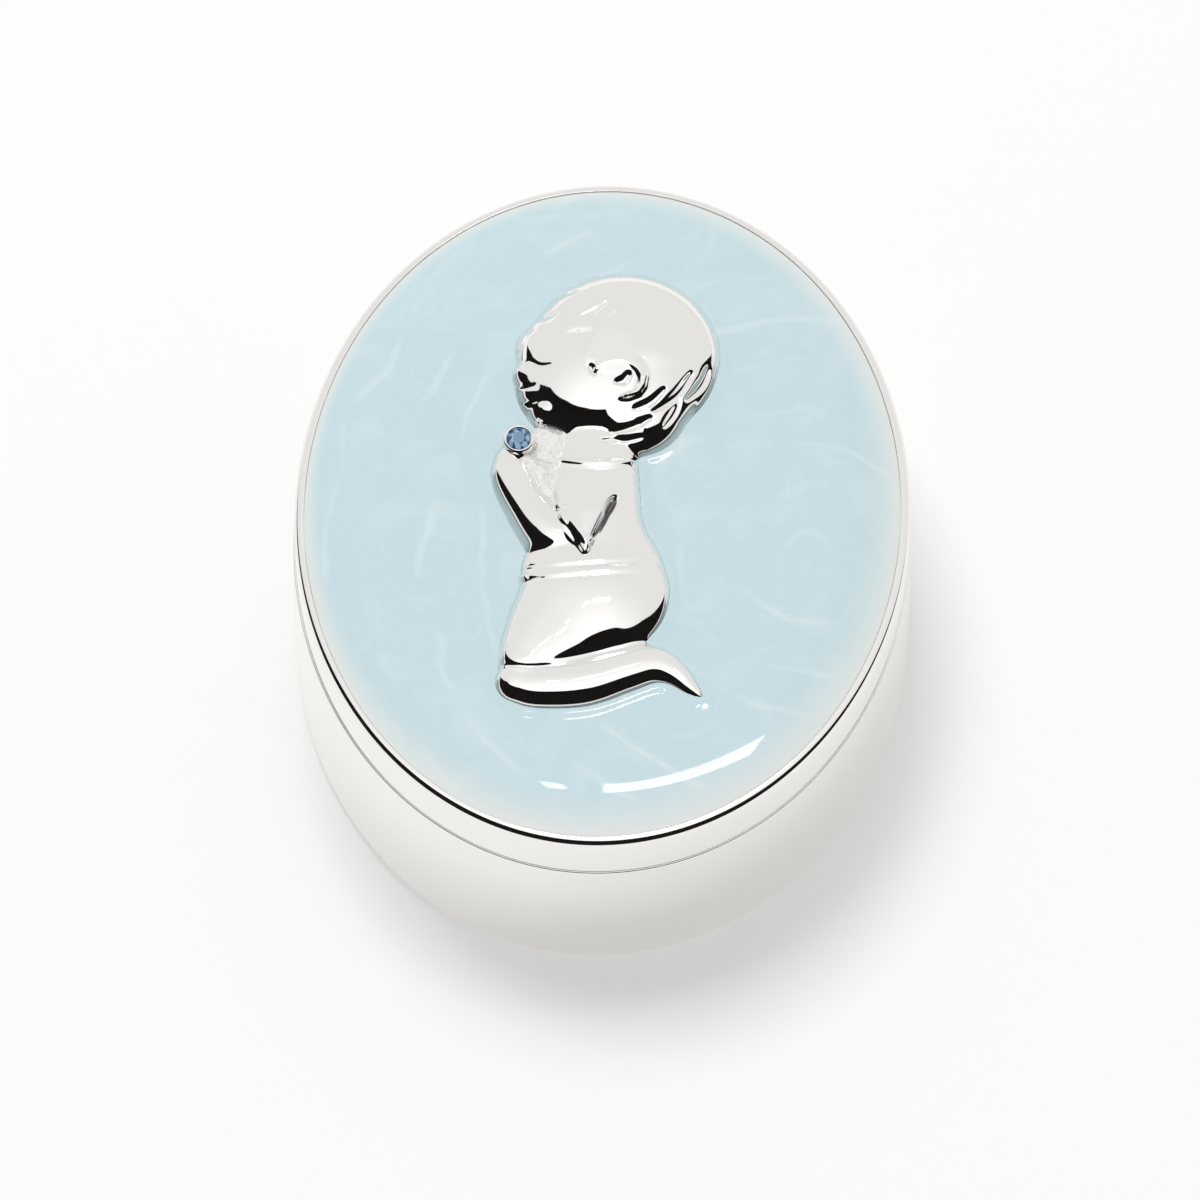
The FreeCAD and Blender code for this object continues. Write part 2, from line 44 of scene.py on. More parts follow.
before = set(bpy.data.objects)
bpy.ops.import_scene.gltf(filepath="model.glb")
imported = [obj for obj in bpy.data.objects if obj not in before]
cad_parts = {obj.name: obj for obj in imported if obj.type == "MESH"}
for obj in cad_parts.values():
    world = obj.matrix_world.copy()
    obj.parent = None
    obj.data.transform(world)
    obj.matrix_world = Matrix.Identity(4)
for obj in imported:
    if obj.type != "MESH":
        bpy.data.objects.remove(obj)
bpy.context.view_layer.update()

MM = 0.001

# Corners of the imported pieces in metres, from which the dressed pieces take their sizes.
BODY_LOW, BODY_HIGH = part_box("body_shell")
LID_LOW, LID_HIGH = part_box("lid_shell")
COLLAR_LOW, COLLAR_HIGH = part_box("locating_collar")
FELT_LOW, FELT_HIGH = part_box("base_felt")
VELVET_LOW, VELVET_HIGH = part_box("floor_velvet")
LID_VELVET_LOW, LID_VELVET_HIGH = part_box("lid_velvet")
LID_CARD_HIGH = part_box("lid_card")[1]
ENAMEL_LOW, ENAMEL_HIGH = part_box("enamel_fill")
FIGURE_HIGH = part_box("praying_figure")[1]
CRYSTAL_LOW, CRYSTAL_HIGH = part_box("crystal")
CUP_LOW, CUP_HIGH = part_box("crystal_cup")

# Walls and margins in millimetres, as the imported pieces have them.
BODY_WALL = 1.8
FELT_MARGIN = 3.0
FLOOR_CARD = 0.8
COLLAR_WALL = 0.6
LID_WALL = 1.48
RIM_WIDTH = 0.9

# Roundings in millimetres.
FOOT_ROUND = 1.2
FLOOR_ROUND = 0.5
SEAM_ROUND = 0.15
EDGE_ROUND = 0.1
LEAD_IN_ROUND = 0.2
RIM_ROUND = 0.8
TRAY_ROUND = 0.08
LIP_ROUND = 0.05

# The velvet pads in millimetres: the height of their cut edge, and insets with the face's drop there.
PAD_EDGE = 0.3
PAD_CROWN = [(0.12, 0.32), (0.45, 0.12), (1.2, 0.04), (3.0, 0.01), (9.0, 0.0), (18.0, 0.0)]

# The felt's edge in millimetres: inset, and rise from its underside.
FELT_EDGE = [(0, 0.18), (0.06, 0.06), (0.2, 0.0), (2.0, 0.0)]

# Levels in millimetres: the tray's floor, the relief's widest line and the enamel's edge.
TRAY_FLOOR = ENAMEL_LOW.z / MM
RELIEF_LINE = TRAY_FLOOR + 1.4
ENAMEL_EDGE_Z = LID_HIGH.z / MM - 0.1
# Rise of the enamel's middle over its edge.
ENAMEL_CROWN = 1.1

# The enamel's pale edge: mean width and change of width in millimetres, its widest side, and its fall.
THIN_WIDTH = 2.8
THIN_CHANGE = 1.6
THIN_SIDE = math.radians(-45)
THIN_FALL = 1.5

# The relief is looked for within so many reaches of the meniscus.
MENISCUS_SEARCH = 4

# Marks on the relief are placed as seen from above the front, in millimetres: a form that is one higher
# than the level takes its marks from so much further back. Only forms over the marked height take them.
MARK_LEVEL = 24.0
MARK_SHIFT = 0.5317
MARK_LEAST_HEIGHT = 0.6
MARKED_HEIGHT = 0.4

# The grid that the relief is sculpted from: corners and step in millimetres, and rounds of smoothing.
GRID_LOW = Vector((-12.5, -23.5))
GRID_HIGH = Vector((12.5, 26.5))
GRID_STEP = 0.1
GRID_SMOOTHING = 4

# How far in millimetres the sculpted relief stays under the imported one's top.
TOP_ROOM = 0.02

# The painted shade along the line where silver meets enamel: its tone, and the millimetres over which a
# whole tone fades.
WATERLINE_TONE = 0.75
WATERLINE_WIDTH = 0.30


def linear(hex_colour):
    """An sRGB hex colour as linear RGBA."""
    channels = [int(hex_colour[i : i + 2], 16) / 255 for i in (1, 3, 5)]
    return [c / 12.92 if c <= 0.04045 else ((c + 0.055) / 1.055) ** 2.4 for c in channels] + [1.0]


class KeepsakeShape(bpy.types.PropertyGroup):
    """Sizes of the dressed box that a user would change."""

    oval_points: bpy.props.IntProperty(
        name="Points round the oval", description="Corners of each oval ring", default=256, min=32
    )
    enamel_rings: bpy.props.IntProperty(
        name="Enamel rings",
        description="Rings of the enamel from its edge to its middle",
        default=120,
        min=12,
    )
    meniscus_rise: bpy.props.FloatProperty(
        name="Meniscus rise",
        description="How far the enamel climbs where it wets the relief",
        default=0.18 * MM,
        unit="LENGTH",
    )
    meniscus_reach: bpy.props.FloatProperty(
        name="Meniscus reach",
        description="How far from the relief the enamel starts to climb",
        default=0.8 * MM,
        unit="LENGTH",
    )
    edge_roll: bpy.props.FloatProperty(
        name="Edge roll",
        description="Width over which the enamel rounds down to the rim",
        default=8.0 * MM,
        unit="LENGTH",
    )


class KeepsakeFinish(bpy.types.PropertyGroup):
    """Colours of the dressed box that a user would change."""

    silver: bpy.props.FloatVectorProperty(
        name="Silver", description="Polished silver plate", size=4, subtype="COLOR",
        default=linear("#F4F3F1"),
    )
    enamel: bpy.props.FloatVectorProperty(
        name="Enamel", description="Pale blue pearl enamel", size=4, subtype="COLOR",
        default=linear("#C1D9E0"),
    )
    enamel_pale: bpy.props.FloatVectorProperty(
        name="Thin enamel", description="Enamel where it thins to the rim", size=4, subtype="COLOR",
        default=linear("#E2E6E3"),
    )
    # The crystal's colour is the tone of its facets painted brightest, as a painted highlight.
    crystal: bpy.props.FloatVectorProperty(
        name="Crystal", description="Blue crystal", size=4, subtype="COLOR",
        default=linear("#C8E9FF"),
    )
    velvet: bpy.props.FloatVectorProperty(
        name="Velvet", description="Lining velvet", size=4, subtype="COLOR",
        default=linear("#5F7F9C"),
    )
    felt: bpy.props.FloatVectorProperty(
        name="Felt", description="Base felt", size=4, subtype="COLOR",
        default=linear("#2E3A4C"),
    )
    card: bpy.props.FloatVectorProperty(
        name="Card", description="Lining card", size=4, subtype="COLOR",
        default=linear("#CFC7B8"),
    )


def shape():
    """The sizes that the user has set."""
    return bpy.context.scene.keepsake_shape


def finish():
    """The colours that the user has set."""
    return bpy.context.scene.keepsake_finish


def add_node(tree, kind, settings=None, **inputs):
    """Add a node with its settings, and set or link its inputs by name, or by number as i0, i1 and on."""
    node = tree.nodes.new(kind)
    for key, value in (settings or {}).items():
        setattr(node, key, value)
    for key, value in inputs.items():
        by_number = key[0] == "i" and key[1:].isdigit()
        socket = node.inputs[int(key[1:]) if by_number else key.replace("_", " ")]
        if isinstance(value, bpy.types.NodeSocket):
            tree.links.new(value, socket)
        else:
            socket.default_value = value
    return node


def new_material(name):
    """An empty node material with its output node."""
    material = bpy.data.materials.new(name)
    material.use_nodes = True
    tree = material.node_tree
    tree.nodes.clear()
    return material, tree, tree.nodes.new("ShaderNodeOutputMaterial")


def silver_plate(name, roughness, waviness):
    """Silver plate, buffed by hand: a near mirror with a faint waviness and fine polishing marks."""
    material, tree, output = new_material(name)
    place = add_node(tree, "ShaderNodeTexCoord").outputs["Object"]
    wave = add_node(tree, "ShaderNodeTexNoise", Vector=place, Scale=1 / (4.0 * MM), Detail=1.0)
    # Real polishing marks are as fine as hairs; these are drawn coarser, so that they show.
    marks = add_node(tree, "ShaderNodeTexNoise", Vector=place, Scale=1 / (0.6 * MM), Detail=3.0)
    spread = add_node(
        tree, "ShaderNodeMapRange", Value=marks.outputs["Fac"], From_Min=0.3, From_Max=0.7,
        To_Min=roughness * 0.75, To_Max=roughness * 1.25,
    )
    bump = add_node(
        tree, "ShaderNodeBump", Height=wave.outputs["Fac"], Strength=waviness, Distance=0.1 * MM,
    )
    shader = add_node(
        tree, "ShaderNodeBsdfPrincipled", Base_Color=finish().silver, Metallic=1.0,
        Roughness=spread.outputs["Result"], Normal=bump.outputs["Normal"],
    )
    tree.links.new(shader.outputs["BSDF"], output.inputs["Surface"])
    return material


def cast_silver():
    """Silver plate over a casting: bright where it was buffed, frosted where the wheel can't reach, and
    painted darker as shade in the armpit's crease and where it meets the enamel.
    """
    material, tree, output = new_material("cast_silver_plate")
    place = add_node(tree, "ShaderNodeTexCoord").outputs["Object"]
    pocket = add_node(tree, "ShaderNodeAttribute", {"attribute_name": "cast_grain"})
    # The casting's grain is drawn coarser than the real one, so that it shows.
    grain = add_node(tree, "ShaderNodeTexNoise", Vector=place, Scale=1 / (0.42 * MM), Detail=4.0)
    rough = add_node(tree, "ShaderNodeMapRange", Value=pocket.outputs["Fac"], To_Min=0.045, To_Max=0.50)
    depth = add_node(
        tree, "ShaderNodeMath", {"operation": "MULTIPLY"},
        i0=grain.outputs["Fac"], i1=pocket.outputs["Fac"],
    )
    bump = add_node(tree, "ShaderNodeBump", Height=depth.outputs[0], Strength=0.8, Distance=0.25 * MM)
    # Painted shade: the armpit's crease and the line where silver meets enamel are darkened towards a
    # brown-black, as shade that the reflections alone don't give.
    crease = add_node(tree, "ShaderNodeAttribute", {"attribute_name": "painted_crease_shade"})
    painted_shade = add_node(
        tree, "ShaderNodeMapRange",
        Value=crease.outputs["Fac"], From_Min=0.25, From_Max=0.85, To_Max=0.85,
    )
    colour = add_node(
        tree, "ShaderNodeMix", {"data_type": "RGBA"},
        Factor=painted_shade.outputs["Result"], A=finish().silver, B=linear("#3A342E"),
    )
    shine = add_node(tree, "ShaderNodeMapRange", Value=pocket.outputs["Fac"], To_Min=1.0, To_Max=0.45)
    shader = add_node(
        tree, "ShaderNodeBsdfPrincipled",
        Base_Color=colour.outputs["Result"], Metallic=shine.outputs["Result"],
        Roughness=rough.outputs["Result"], Normal=bump.outputs["Normal"],
    )
    tree.links.new(shader.outputs["BSDF"], output.inputs["Surface"])
    return material


def pearl_enamel():
    """Poured epoxy enamel with mica pearl: pale blue, swirled by stirring, whitish at its thin edge."""
    material, tree, output = new_material("pearl_enamel")
    place = add_node(tree, "ShaderNodeTexCoord").outputs["Object"]
    bend = add_node(tree, "ShaderNodeTexNoise", Vector=place, Scale=1 / (11.0 * MM), Detail=2.0)
    stirred = add_node(
        tree, "ShaderNodeVectorMath", {"operation": "SCALE"}, i0=bend.outputs["Color"], Scale=26.0 * MM,
    )
    moved = add_node(
        tree, "ShaderNodeVectorMath", {"operation": "ADD"}, i0=place, i1=stirred.outputs["Vector"],
    )
    swirl = add_node(
        tree, "ShaderNodeTexNoise",
        Vector=moved.outputs["Vector"], Scale=1 / (5.0 * MM), Detail=6.0, Roughness=0.66,
    )
    centred = add_node(tree, "ShaderNodeMapping", Vector=place, Location=(-22.0 * MM, 2.0 * MM, 0.0))
    whirl = add_node(
        tree, "ShaderNodeVectorMath", {"operation": "MULTIPLY_ADD"},
        i0=stirred.outputs["Vector"], i1=(0.2, 0.2, 0.2), i2=centred.outputs["Vector"],
    )
    streak = add_node(
        tree, "ShaderNodeTexWave", {"wave_type": "RINGS", "rings_direction": "Z"},
        Vector=whirl.outputs["Vector"], Scale=1 / (15.0 * MM), Distortion=0.5, Detail=1.0,
    )
    broken = add_node(tree, "ShaderNodeTexNoise", Vector=place, Scale=1 / (8.0 * MM), Detail=1.0)
    kept = add_node(tree, "ShaderNodeMapRange", Value=broken.outputs["Fac"], From_Min=0.46, From_Max=0.62)
    thin = add_node(tree, "ShaderNodeAttribute", {"attribute_name": "thin_edge"})
    pearl = add_node(
        tree, "ShaderNodeMapRange",
        Value=swirl.outputs["Fac"], From_Min=0.45, From_Max=0.80, To_Max=0.34,
    )
    line = add_node(
        tree, "ShaderNodeMapRange",
        Value=streak.outputs["Fac"], From_Min=0.90, From_Max=1.0, To_Max=0.34,
    )
    wisp = add_node(
        tree, "ShaderNodeMath", {"operation": "MULTIPLY"}, i0=line.outputs[0], i1=kept.outputs[0],
    )
    milk = add_node(
        tree, "ShaderNodeMath", {"operation": "ADD", "use_clamp": True},
        i0=pearl.outputs[0], i1=wisp.outputs[0],
    )
    cloud = add_node(
        tree, "ShaderNodeMix", {"data_type": "RGBA"},
        Factor=milk.outputs[0], A=finish().enamel, B=linear("#DFEAEC"),
    )
    colour = add_node(
        tree, "ShaderNodeMix", {"data_type": "RGBA"},
        Factor=thin.outputs["Fac"], A=cloud.outputs["Result"], B=finish().enamel_pale,
    )
    shader = add_node(
        tree, "ShaderNodeBsdfPrincipled", Base_Color=colour.outputs["Result"], Roughness=0.35, IOR=1.5,
        Coat_Weight=1.0, Coat_Roughness=0.03, Coat_IOR=1.52,
    )
    tree.links.new(shader.outputs["BSDF"], output.inputs["Surface"])
    return material


def blue_crystal():
    """Cut lead crystal, cool blue, polished: clear facets, with highlight and shade painted on them, some
    bright and some dark.
    """
    material, tree, output = new_material("blue_crystal")
    # Painted highlight and shade: bright facets take the light crystal colour, dark ones the deep blue.
    facet = add_node(tree, "ShaderNodeAttribute", {"attribute_name": "painted_facet_light"})
    colour = add_node(
        tree, "ShaderNodeMix", {"data_type": "RGBA"},
        Factor=facet.outputs["Fac"], A=linear("#1E5E9C"), B=finish().crystal,
    )
    shader = add_node(
        tree, "ShaderNodeBsdfPrincipled", Base_Color=colour.outputs["Result"], Roughness=0.0, IOR=1.58,
        Transmission_Weight=0.4,
    )
    tree.links.new(shader.outputs["BSDF"], output.inputs["Surface"])
    return material


def velvet_cloth(name, colour, pile_mm):
    """Woven velvet, or pressed felt: a soft dull nap that catches light along its edges."""
    material, tree, output = new_material(name)
    place = add_node(tree, "ShaderNodeTexCoord").outputs["Object"]
    # The fibres are drawn coarser than real ones, so that they show.
    pile = add_node(tree, "ShaderNodeTexNoise", Vector=place, Scale=1 / (pile_mm * MM), Detail=3.0)
    brushed = add_node(tree, "ShaderNodeTexNoise", Vector=place, Scale=1 / (11.0 * MM), Detail=2.0)
    shade = add_node(
        tree, "ShaderNodeMapRange",
        Value=brushed.outputs["Fac"], From_Min=0.3, From_Max=0.7, To_Min=0.78, To_Max=1.1,
    )
    tone = add_node(tree, "ShaderNodeHueSaturation", Color=colour, Value=shade.outputs["Result"])
    bump = add_node(tree, "ShaderNodeBump", Height=pile.outputs["Fac"], Strength=0.5, Distance=0.15 * MM)
    shader = add_node(
        tree, "ShaderNodeBsdfPrincipled", Base_Color=tone.outputs["Color"], Roughness=0.95,
        Sheen_Weight=0.8, Sheen_Roughness=0.35, Normal=bump.outputs["Normal"],
    )
    tree.links.new(shader.outputs["BSDF"], output.inputs["Surface"])
    return material


def lining_card():
    """Grey-white pulp board, cut with a die: a dull fibrous face."""
    material, tree, output = new_material("lining_card")
    place = add_node(tree, "ShaderNodeTexCoord").outputs["Object"]
    # The pulp's fibres are drawn coarser than real ones, so that they show.
    fibre = add_node(tree, "ShaderNodeTexNoise", Vector=place, Scale=1 / (0.5 * MM), Detail=4.0)
    shade = add_node(tree, "ShaderNodeMapRange", Value=fibre.outputs["Fac"], To_Min=0.85, To_Max=1.08)
    tone = add_node(tree, "ShaderNodeHueSaturation", Color=finish().card, Value=shade.outputs["Result"])
    bump = add_node(tree, "ShaderNodeBump", Height=fibre.outputs["Fac"], Strength=0.3, Distance=0.05 * MM)
    shader = add_node(
        tree, "ShaderNodeBsdfPrincipled",
        Base_Color=tone.outputs["Color"], Roughness=0.9, Normal=bump.outputs["Normal"],
    )
    tree.links.new(shader.outputs["BSDF"], output.inputs["Surface"])
    return material


def new_piece(name, bm, material, body, slot, *nodes):
    """Turn a bmesh into a smooth-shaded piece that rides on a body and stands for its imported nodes."""
    bmesh.ops.remove_doubles(bm, verts=bm.verts, dist=0.001 * MM)
    bmesh.ops.recalc_face_normals(bm, faces=bm.faces)
    mesh = bpy.data.meshes.new(name)
    bm.to_mesh(mesh)
    bm.free()
    mesh.shade_smooth()
    mesh.set_sharp_from_angle(angle=math.radians(40))
    mesh.materials.append(material)
    piece = bpy.data.objects.new(name, mesh)
    bpy.context.scene.collection.objects.link(piece)
    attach(piece, body)
    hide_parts(*nodes)
    return piece


def weigh_normals(piece):
    """Keep the flats true beside the roundings."""
    weighted = piece.modifiers.new("true flats", "WEIGHTED_NORMAL")
    weighted.mode = "FACE_AREA"
    weighted.keep_sharp = True


def start_ring(bm, half_x, half_y, level):
    """An oval ring of edges at a level."""
    ring = bmesh.ops.create_circle(bm, segments=shape().oval_points, radius=1.0)
    verts = ring["verts"]
    bmesh.ops.scale(bm, vec=(half_x, half_y, 1.0), verts=verts)
    bmesh.ops.translate(bm, vec=(0, 0, level), verts=verts)
    return list({edge for vert in verts for edge in vert.link_edges})


def next_ring(bm, edges, ratio_x, ratio_y, rise):
    """Extrude an oval ring to the next one, scaled about the axis and raised."""
    made = bmesh.ops.extrude_edge_only(bm, edges=edges)["geom"]
    verts = [item for item in made if isinstance(item, bmesh.types.BMVert)]
    bmesh.ops.scale(bm, vec=(ratio_x, ratio_y, 1.0), verts=verts)
    bmesh.ops.translate(bm, vec=(0, 0, rise), verts=verts)
    ring = set(verts)
    new_edges = [item for item in made if isinstance(item, bmesh.types.BMEdge)]
    return [edge for edge in new_edges if ring.issuperset(edge.verts)]


def oval_walls(half_x, half_y, corners, closed=False):
    """Walls through oval corners of inset, level and rounding in millimetres; open ends are capped."""
    bm = bmesh.new()
    sizes = [(half_x - inset * MM, half_y - inset * MM, level * MM) for inset, level, _ in corners]
    rings = [start_ring(bm, *sizes[0])]
    for old, new in zip(sizes[:-1], sizes[1:]):
        rings.append(next_ring(bm, rings[-1], new[0] / old[0], new[1] / old[1], new[2] - old[2]))
    if closed:
        bmesh.ops.bridge_loops(bm, edges=rings[0] + rings[-1])
    else:
        bmesh.ops.edgeloop_fill(bm, edges=rings[0])
        bmesh.ops.edgeloop_fill(bm, edges=rings[-1])
    for ring, (_, _, rounding) in zip(rings, corners):
        if rounding:
            bmesh.ops.bevel(
                bm, geom=[e for e in ring if e.is_valid], offset=rounding * MM, segments=8, profile=0.5,
                affect="EDGES", material=-1,
            )
    return bm


class KEEPSAKE_OT_body(bpy.types.Operator):
    """Make the deep oval body and its collar"""

    bl_idname = "keepsake.body"
    bl_label = "Body and collar"

    def execute(self, context):
        half_x, half_y = BODY_HIGH.x, BODY_HIGH.y
        foot, seam = BODY_LOW.z / MM, BODY_HIGH.z / MM
        recess = FELT_HIGH.z / MM
        floor = VELVET_LOW.z / MM - FLOOR_CARD
        corners = [
            (FELT_MARGIN, recess, 0),
            (FELT_MARGIN, foot, 0),
            (0, foot, FOOT_ROUND),
            (0, seam, SEAM_ROUND),
            (BODY_WALL, seam, EDGE_ROUND),
            (BODY_WALL, floor, FLOOR_ROUND),
        ]
        bm = oval_walls(half_x, half_y, corners)
        plate = silver_plate("silver_plate_body", roughness=0.09, waviness=0.10)
        body = new_piece("body", bm, plate, "box", "silver_plate", "body_shell")
        weigh_normals(body)

        low, high = COLLAR_LOW.z / MM, COLLAR_HIGH.z / MM
        strip = [
            (0, low, EDGE_ROUND),
            (0, high, LEAD_IN_ROUND),
            (COLLAR_WALL, high, EDGE_ROUND),
            (COLLAR_WALL, low, EDGE_ROUND),
        ]
        bm = oval_walls(COLLAR_HIGH.x, COLLAR_HIGH.y, strip, closed=True)
        plate = silver_plate("silver_plate_collar", roughness=0.12, waviness=0.06)
        collar = new_piece("collar", bm, plate, "box", "silver_plate", "locating_collar")
        weigh_normals(collar)
        return {"FINISHED"}


class KEEPSAKE_OT_lid(bpy.types.Operator):
    """Make the lid: its side band, plate and rounded rim"""

    bl_idname = "keepsake.lid"
    bl_label = "Lid"

    def execute(self, context):
        half_x, half_y = LID_HIGH.x, LID_HIGH.y
        seam, crest = LID_LOW.z / MM, LID_HIGH.z / MM
        under = LID_CARD_HIGH.z / MM
        corners = [
            (LID_WALL, under, EDGE_ROUND),
            (LID_WALL, seam, LIP_ROUND),
            (0, seam, SEAM_ROUND),
            (0, crest, RIM_ROUND),
            (RIM_WIDTH, crest, TRAY_ROUND),
            (RIM_WIDTH, TRAY_FLOOR, 0),
        ]
        bm = oval_walls(half_x, half_y, corners)
        plate = silver_plate("silver_plate_lid", roughness=0.08, waviness=0.08)
        lid = new_piece("lid", bm, plate, "lid", "silver_plate", "lid_shell")
        weigh_normals(lid)
        return {"FINISHED"}


class KEEPSAKE_OT_linings(bpy.types.Operator):
    """Make the velvet of the floor and of the lid, and finish the cards"""

    bl_idname = "keepsake.linings"
    bl_label = "Linings"

    def execute(self, context):
        velvet = velvet_cloth("lining_velvet", finish().velvet, pile_mm=0.18)
        pads = [
            ("floor_lining", VELVET_LOW, VELVET_HIGH, False, "box", "floor_velvet"),
            ("lid_lining", LID_VELVET_LOW, LID_VELVET_HIGH, True, "lid", "lid_velvet"),
        ]
        for name, low, high, down, body, node in pads:
            back, face = (high.z, low.z) if down else (low.z, high.z)
            back, face = back / MM, face / MM
            step = 1 if face > back else -1
            edge = [(0, back, 0), (0, back + step * PAD_EDGE, 0)]
            crown = [(inset, face - step * drop, 0) for inset, drop in PAD_CROWN]
            bm = oval_walls(high.x, high.y, edge + crown)
            piece = new_piece(name, bm, velvet, body, "lining_velvet", node)
        card = lining_card()
        for node in ("floor_card", "lid_card"):
            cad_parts[node].data.materials.clear()
            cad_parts[node].data.materials.append(card)
        return {"FINISHED"}


class KEEPSAKE_OT_felt(bpy.types.Operator):
    """Make the felt that the box stands on"""

    bl_idname = "keepsake.felt"
    bl_label = "Base felt"

    def execute(self, context):
        low, high = FELT_LOW.z / MM, FELT_HIGH.z / MM
        sheet = [(0, high, 0)] + [(inset, low + rise, 0) for inset, rise in FELT_EDGE]
        bm = oval_walls(FELT_HIGH.x, FELT_HIGH.y, sheet)
        cloth = velvet_cloth("base_felt", finish().felt, pile_mm=0.5)
        felt = new_piece("base_felt_sheet", bm, cloth, "box", "base_felt", "base_felt")
        return {"FINISHED"}


# Points along a limb, a tool stroke, and each stretch of an outline; and the slope beyond a form's edge.
LIMB_POINTS = 110
STROKE_POINTS = 12
OUTLINE_POINTS = 8
FALL_BEYOND_EDGE = 2.5


def pillow(span, power):
    """Height share of a swelling section at a share of its half width; it falls on beyond its edge."""
    within = np.clip(span, 0.0, 1.0)
    round_top = np.sqrt(np.maximum(0.0, 1.0 - within**power))
    return np.where(span < 1.0, round_top, (1.0 - span) * FALL_BEYOND_EDGE)


def meld(low, high, blend):
    """Join two heights with a soft fillet of about the blend's width."""
    share = np.clip(0.5 + 0.5 * (high - low) / blend, 0.0, 1.0)
    return low * (1 - share) + high * share + blend * share * (1 - share)


def between(a, b, c, d, t):
    """Places from b to c, at shares t of the way, on a smooth curve through a, b, c and d."""
    square = 2 * a - 5 * b + 4 * c - d
    cube = 3 * b - a - 3 * c + d
    return 0.5 * (2 * b + (c - a) * t + square * t**2 + cube * t**3)


def smooth_rows(rows, count):
    """Rows of numbers drawn out along a smooth curve through them."""
    rows = np.array(rows, float)
    at = np.linspace(0, len(rows) - 1, count)
    index = np.clip(at.astype(int), 0, len(rows) - 2)
    padded = np.vstack([2 * rows[0] - rows[1], rows, 2 * rows[-1] - rows[-2]])
    return between(*(padded[index + i] for i in range(4)), (at - index)[:, None])


def to_segment(x, y, start, end):
    """Share along a segment of the nearest place on it, and the distance from there."""
    run = end[:2] - start[:2]
    t = np.clip(((x - start[0]) * run[0] + (y - start[1]) * run[1]) / (run @ run), 0, 1)
    return t, np.hypot(x - start[0] - t * run[0], y - start[1] - t * run[1])


def limb(x, y, rows, power=2.0):
    """A limb along a line: rows of x, y, half width, rise and height."""
    line = smooth_rows(rows, LIMB_POINTS)
    span = np.full(x.shape, 1e9)
    rise = np.zeros(x.shape)
    height = np.zeros(x.shape)
    for start, end in zip(line[:-1], line[1:]):
        t, away = to_segment(x, y, start, end)
        here = away / (start[2] + t * (end[2] - start[2]))
        nearer = here < span
        span = np.where(nearer, here, span)
        rise = np.where(nearer, start[3] + t * (end[3] - start[3]), rise)
        height = np.where(nearer, start[4] + t * (end[4] - start[4]), height)
    return rise + height * pillow(span, power)


def dome(x, y, row):
    """A round of the head: x, y, half width, half length, turn in degrees and height."""
    middle_x, middle_y, half_x, half_y, turn, height = row
    c, s = math.cos(math.radians(turn)), math.sin(math.radians(turn))
    across = ((x - middle_x) * c + (y - middle_y) * s) / half_x
    along = (-(x - middle_x) * s + (y - middle_y) * c) / half_y
    return height * pillow(np.hypot(across, along), 2.0)


def depth_inside(x, y, outline):
    """Distance to a closed smooth outline, above zero inside it."""
    ring = np.array(outline, float)
    t = (np.arange(OUTLINE_POINTS) / OUTLINE_POINTS)[None, :, None]
    line = between(*(np.roll(ring, 1 - i, axis=0)[:, None] for i in range(4)), t).reshape(-1, 2)
    within = np.zeros(x.shape, bool)
    away = np.full(x.shape, 1e9)
    for start, end in zip(line, np.roll(line, -1, axis=0)):
        away = np.minimum(away, to_segment(x, y, start, end)[1])
        spans = (start[1] > y) != (end[1] > y)
        lean = (end[0] - start[0]) / (end[1] - start[1]) if end[1] != start[1] else 0.0
        within ^= spans & (x < start[0] + (y - start[1]) * lean)
    return np.where(within, away, -away)


def swell(x, y, outline, shoulder, height):
    """A form that rises from its outline over a rounded shoulder to its height."""
    depth = depth_inside(x, y, outline)
    return height * pillow(1.0 - np.minimum(depth / shoulder, 1.0), 2.0)


def stroke(x, y, points, width):
    """Share of a tool stroke at each place: full on its line, none past its half width, thin at its ends."""
    line = smooth_rows(points, STROKE_POINTS)
    share = np.zeros(x.shape)
    for index, (start, end) in enumerate(zip(line[:-1], line[1:])):
        t, away = to_segment(x, y, start, end)
        along = (index + t) / (len(line) - 1)
        half = width * np.sqrt(np.clip(4 * along * (1 - along), 0.02, 1.0))
        share = np.maximum(share, np.clip(1 - (away / half) ** 2, 0, 1) ** 1.5)
    return share


def ease(share):
    """A share eased at both ends."""
    share = np.clip(share, 0, 1)
    return share * share * (3 - 2 * share)


# The relief's forms in millimetres on the lid, from its middle; heights start at the relief's widest line.
# Domes are rows as dome takes them, and limbs are rows as limb takes them.
SKULL = (1.25, 15.6, 9.25, 9.2, 0, 4.85)
JAW = (-2.0, 12.8, 7.1, 6.9, 0, 4.5)
NAPE = [(3.4, 12.5, 5.2, 0, 4.3), (3.3, 9.6, 4.2, 0, 4.0), (2.4, 8.2, 3.4, 0, 3.5)]
# The face's rounds, each with the width of its soft join.
FACE_ROUNDS = [
    ((-6.6, 16.2, 2.5, 2.9, -8, 3.0), 1.8),
    ((-7.9, 13.2, 1.45, 1.3, -25, 2.4), 1.1),
    ((-6.9, 10.9, 1.45, 1.2, -15, 2.6), 0.9),
    ((-5.8, 9.0, 1.7, 1.5, 0, 2.7), 1.0),
]
SHIRT = [
    (-0.6, 5.0, 4.1, 0, 3.0), (-0.5, 2.0, 4.25, 0, 3.3), (-0.5, -2.0, 4.7, 0, 3.45),
    (-0.4, -5.0, 5.5, 0, 3.4), (-0.5, -8.5, 5.9, 0, 3.2),
]
HIPS = [(-0.8, -5.6, 6.2, 0, 3.3), (-0.6, -7.4, 7.1, 0, 3.6), (-0.1, -9.2, 7.2, 0, 3.8)]
THIGH = [
    (-1.2, -9.6, 6.2, 0, 3.75), (-3.4, -12.6, 5.1, 0, 3.5), (-5.4, -15.2, 3.7, 0, 3.2),
    (-6.3, -16.6, 2.9, 0, 3.0),
]
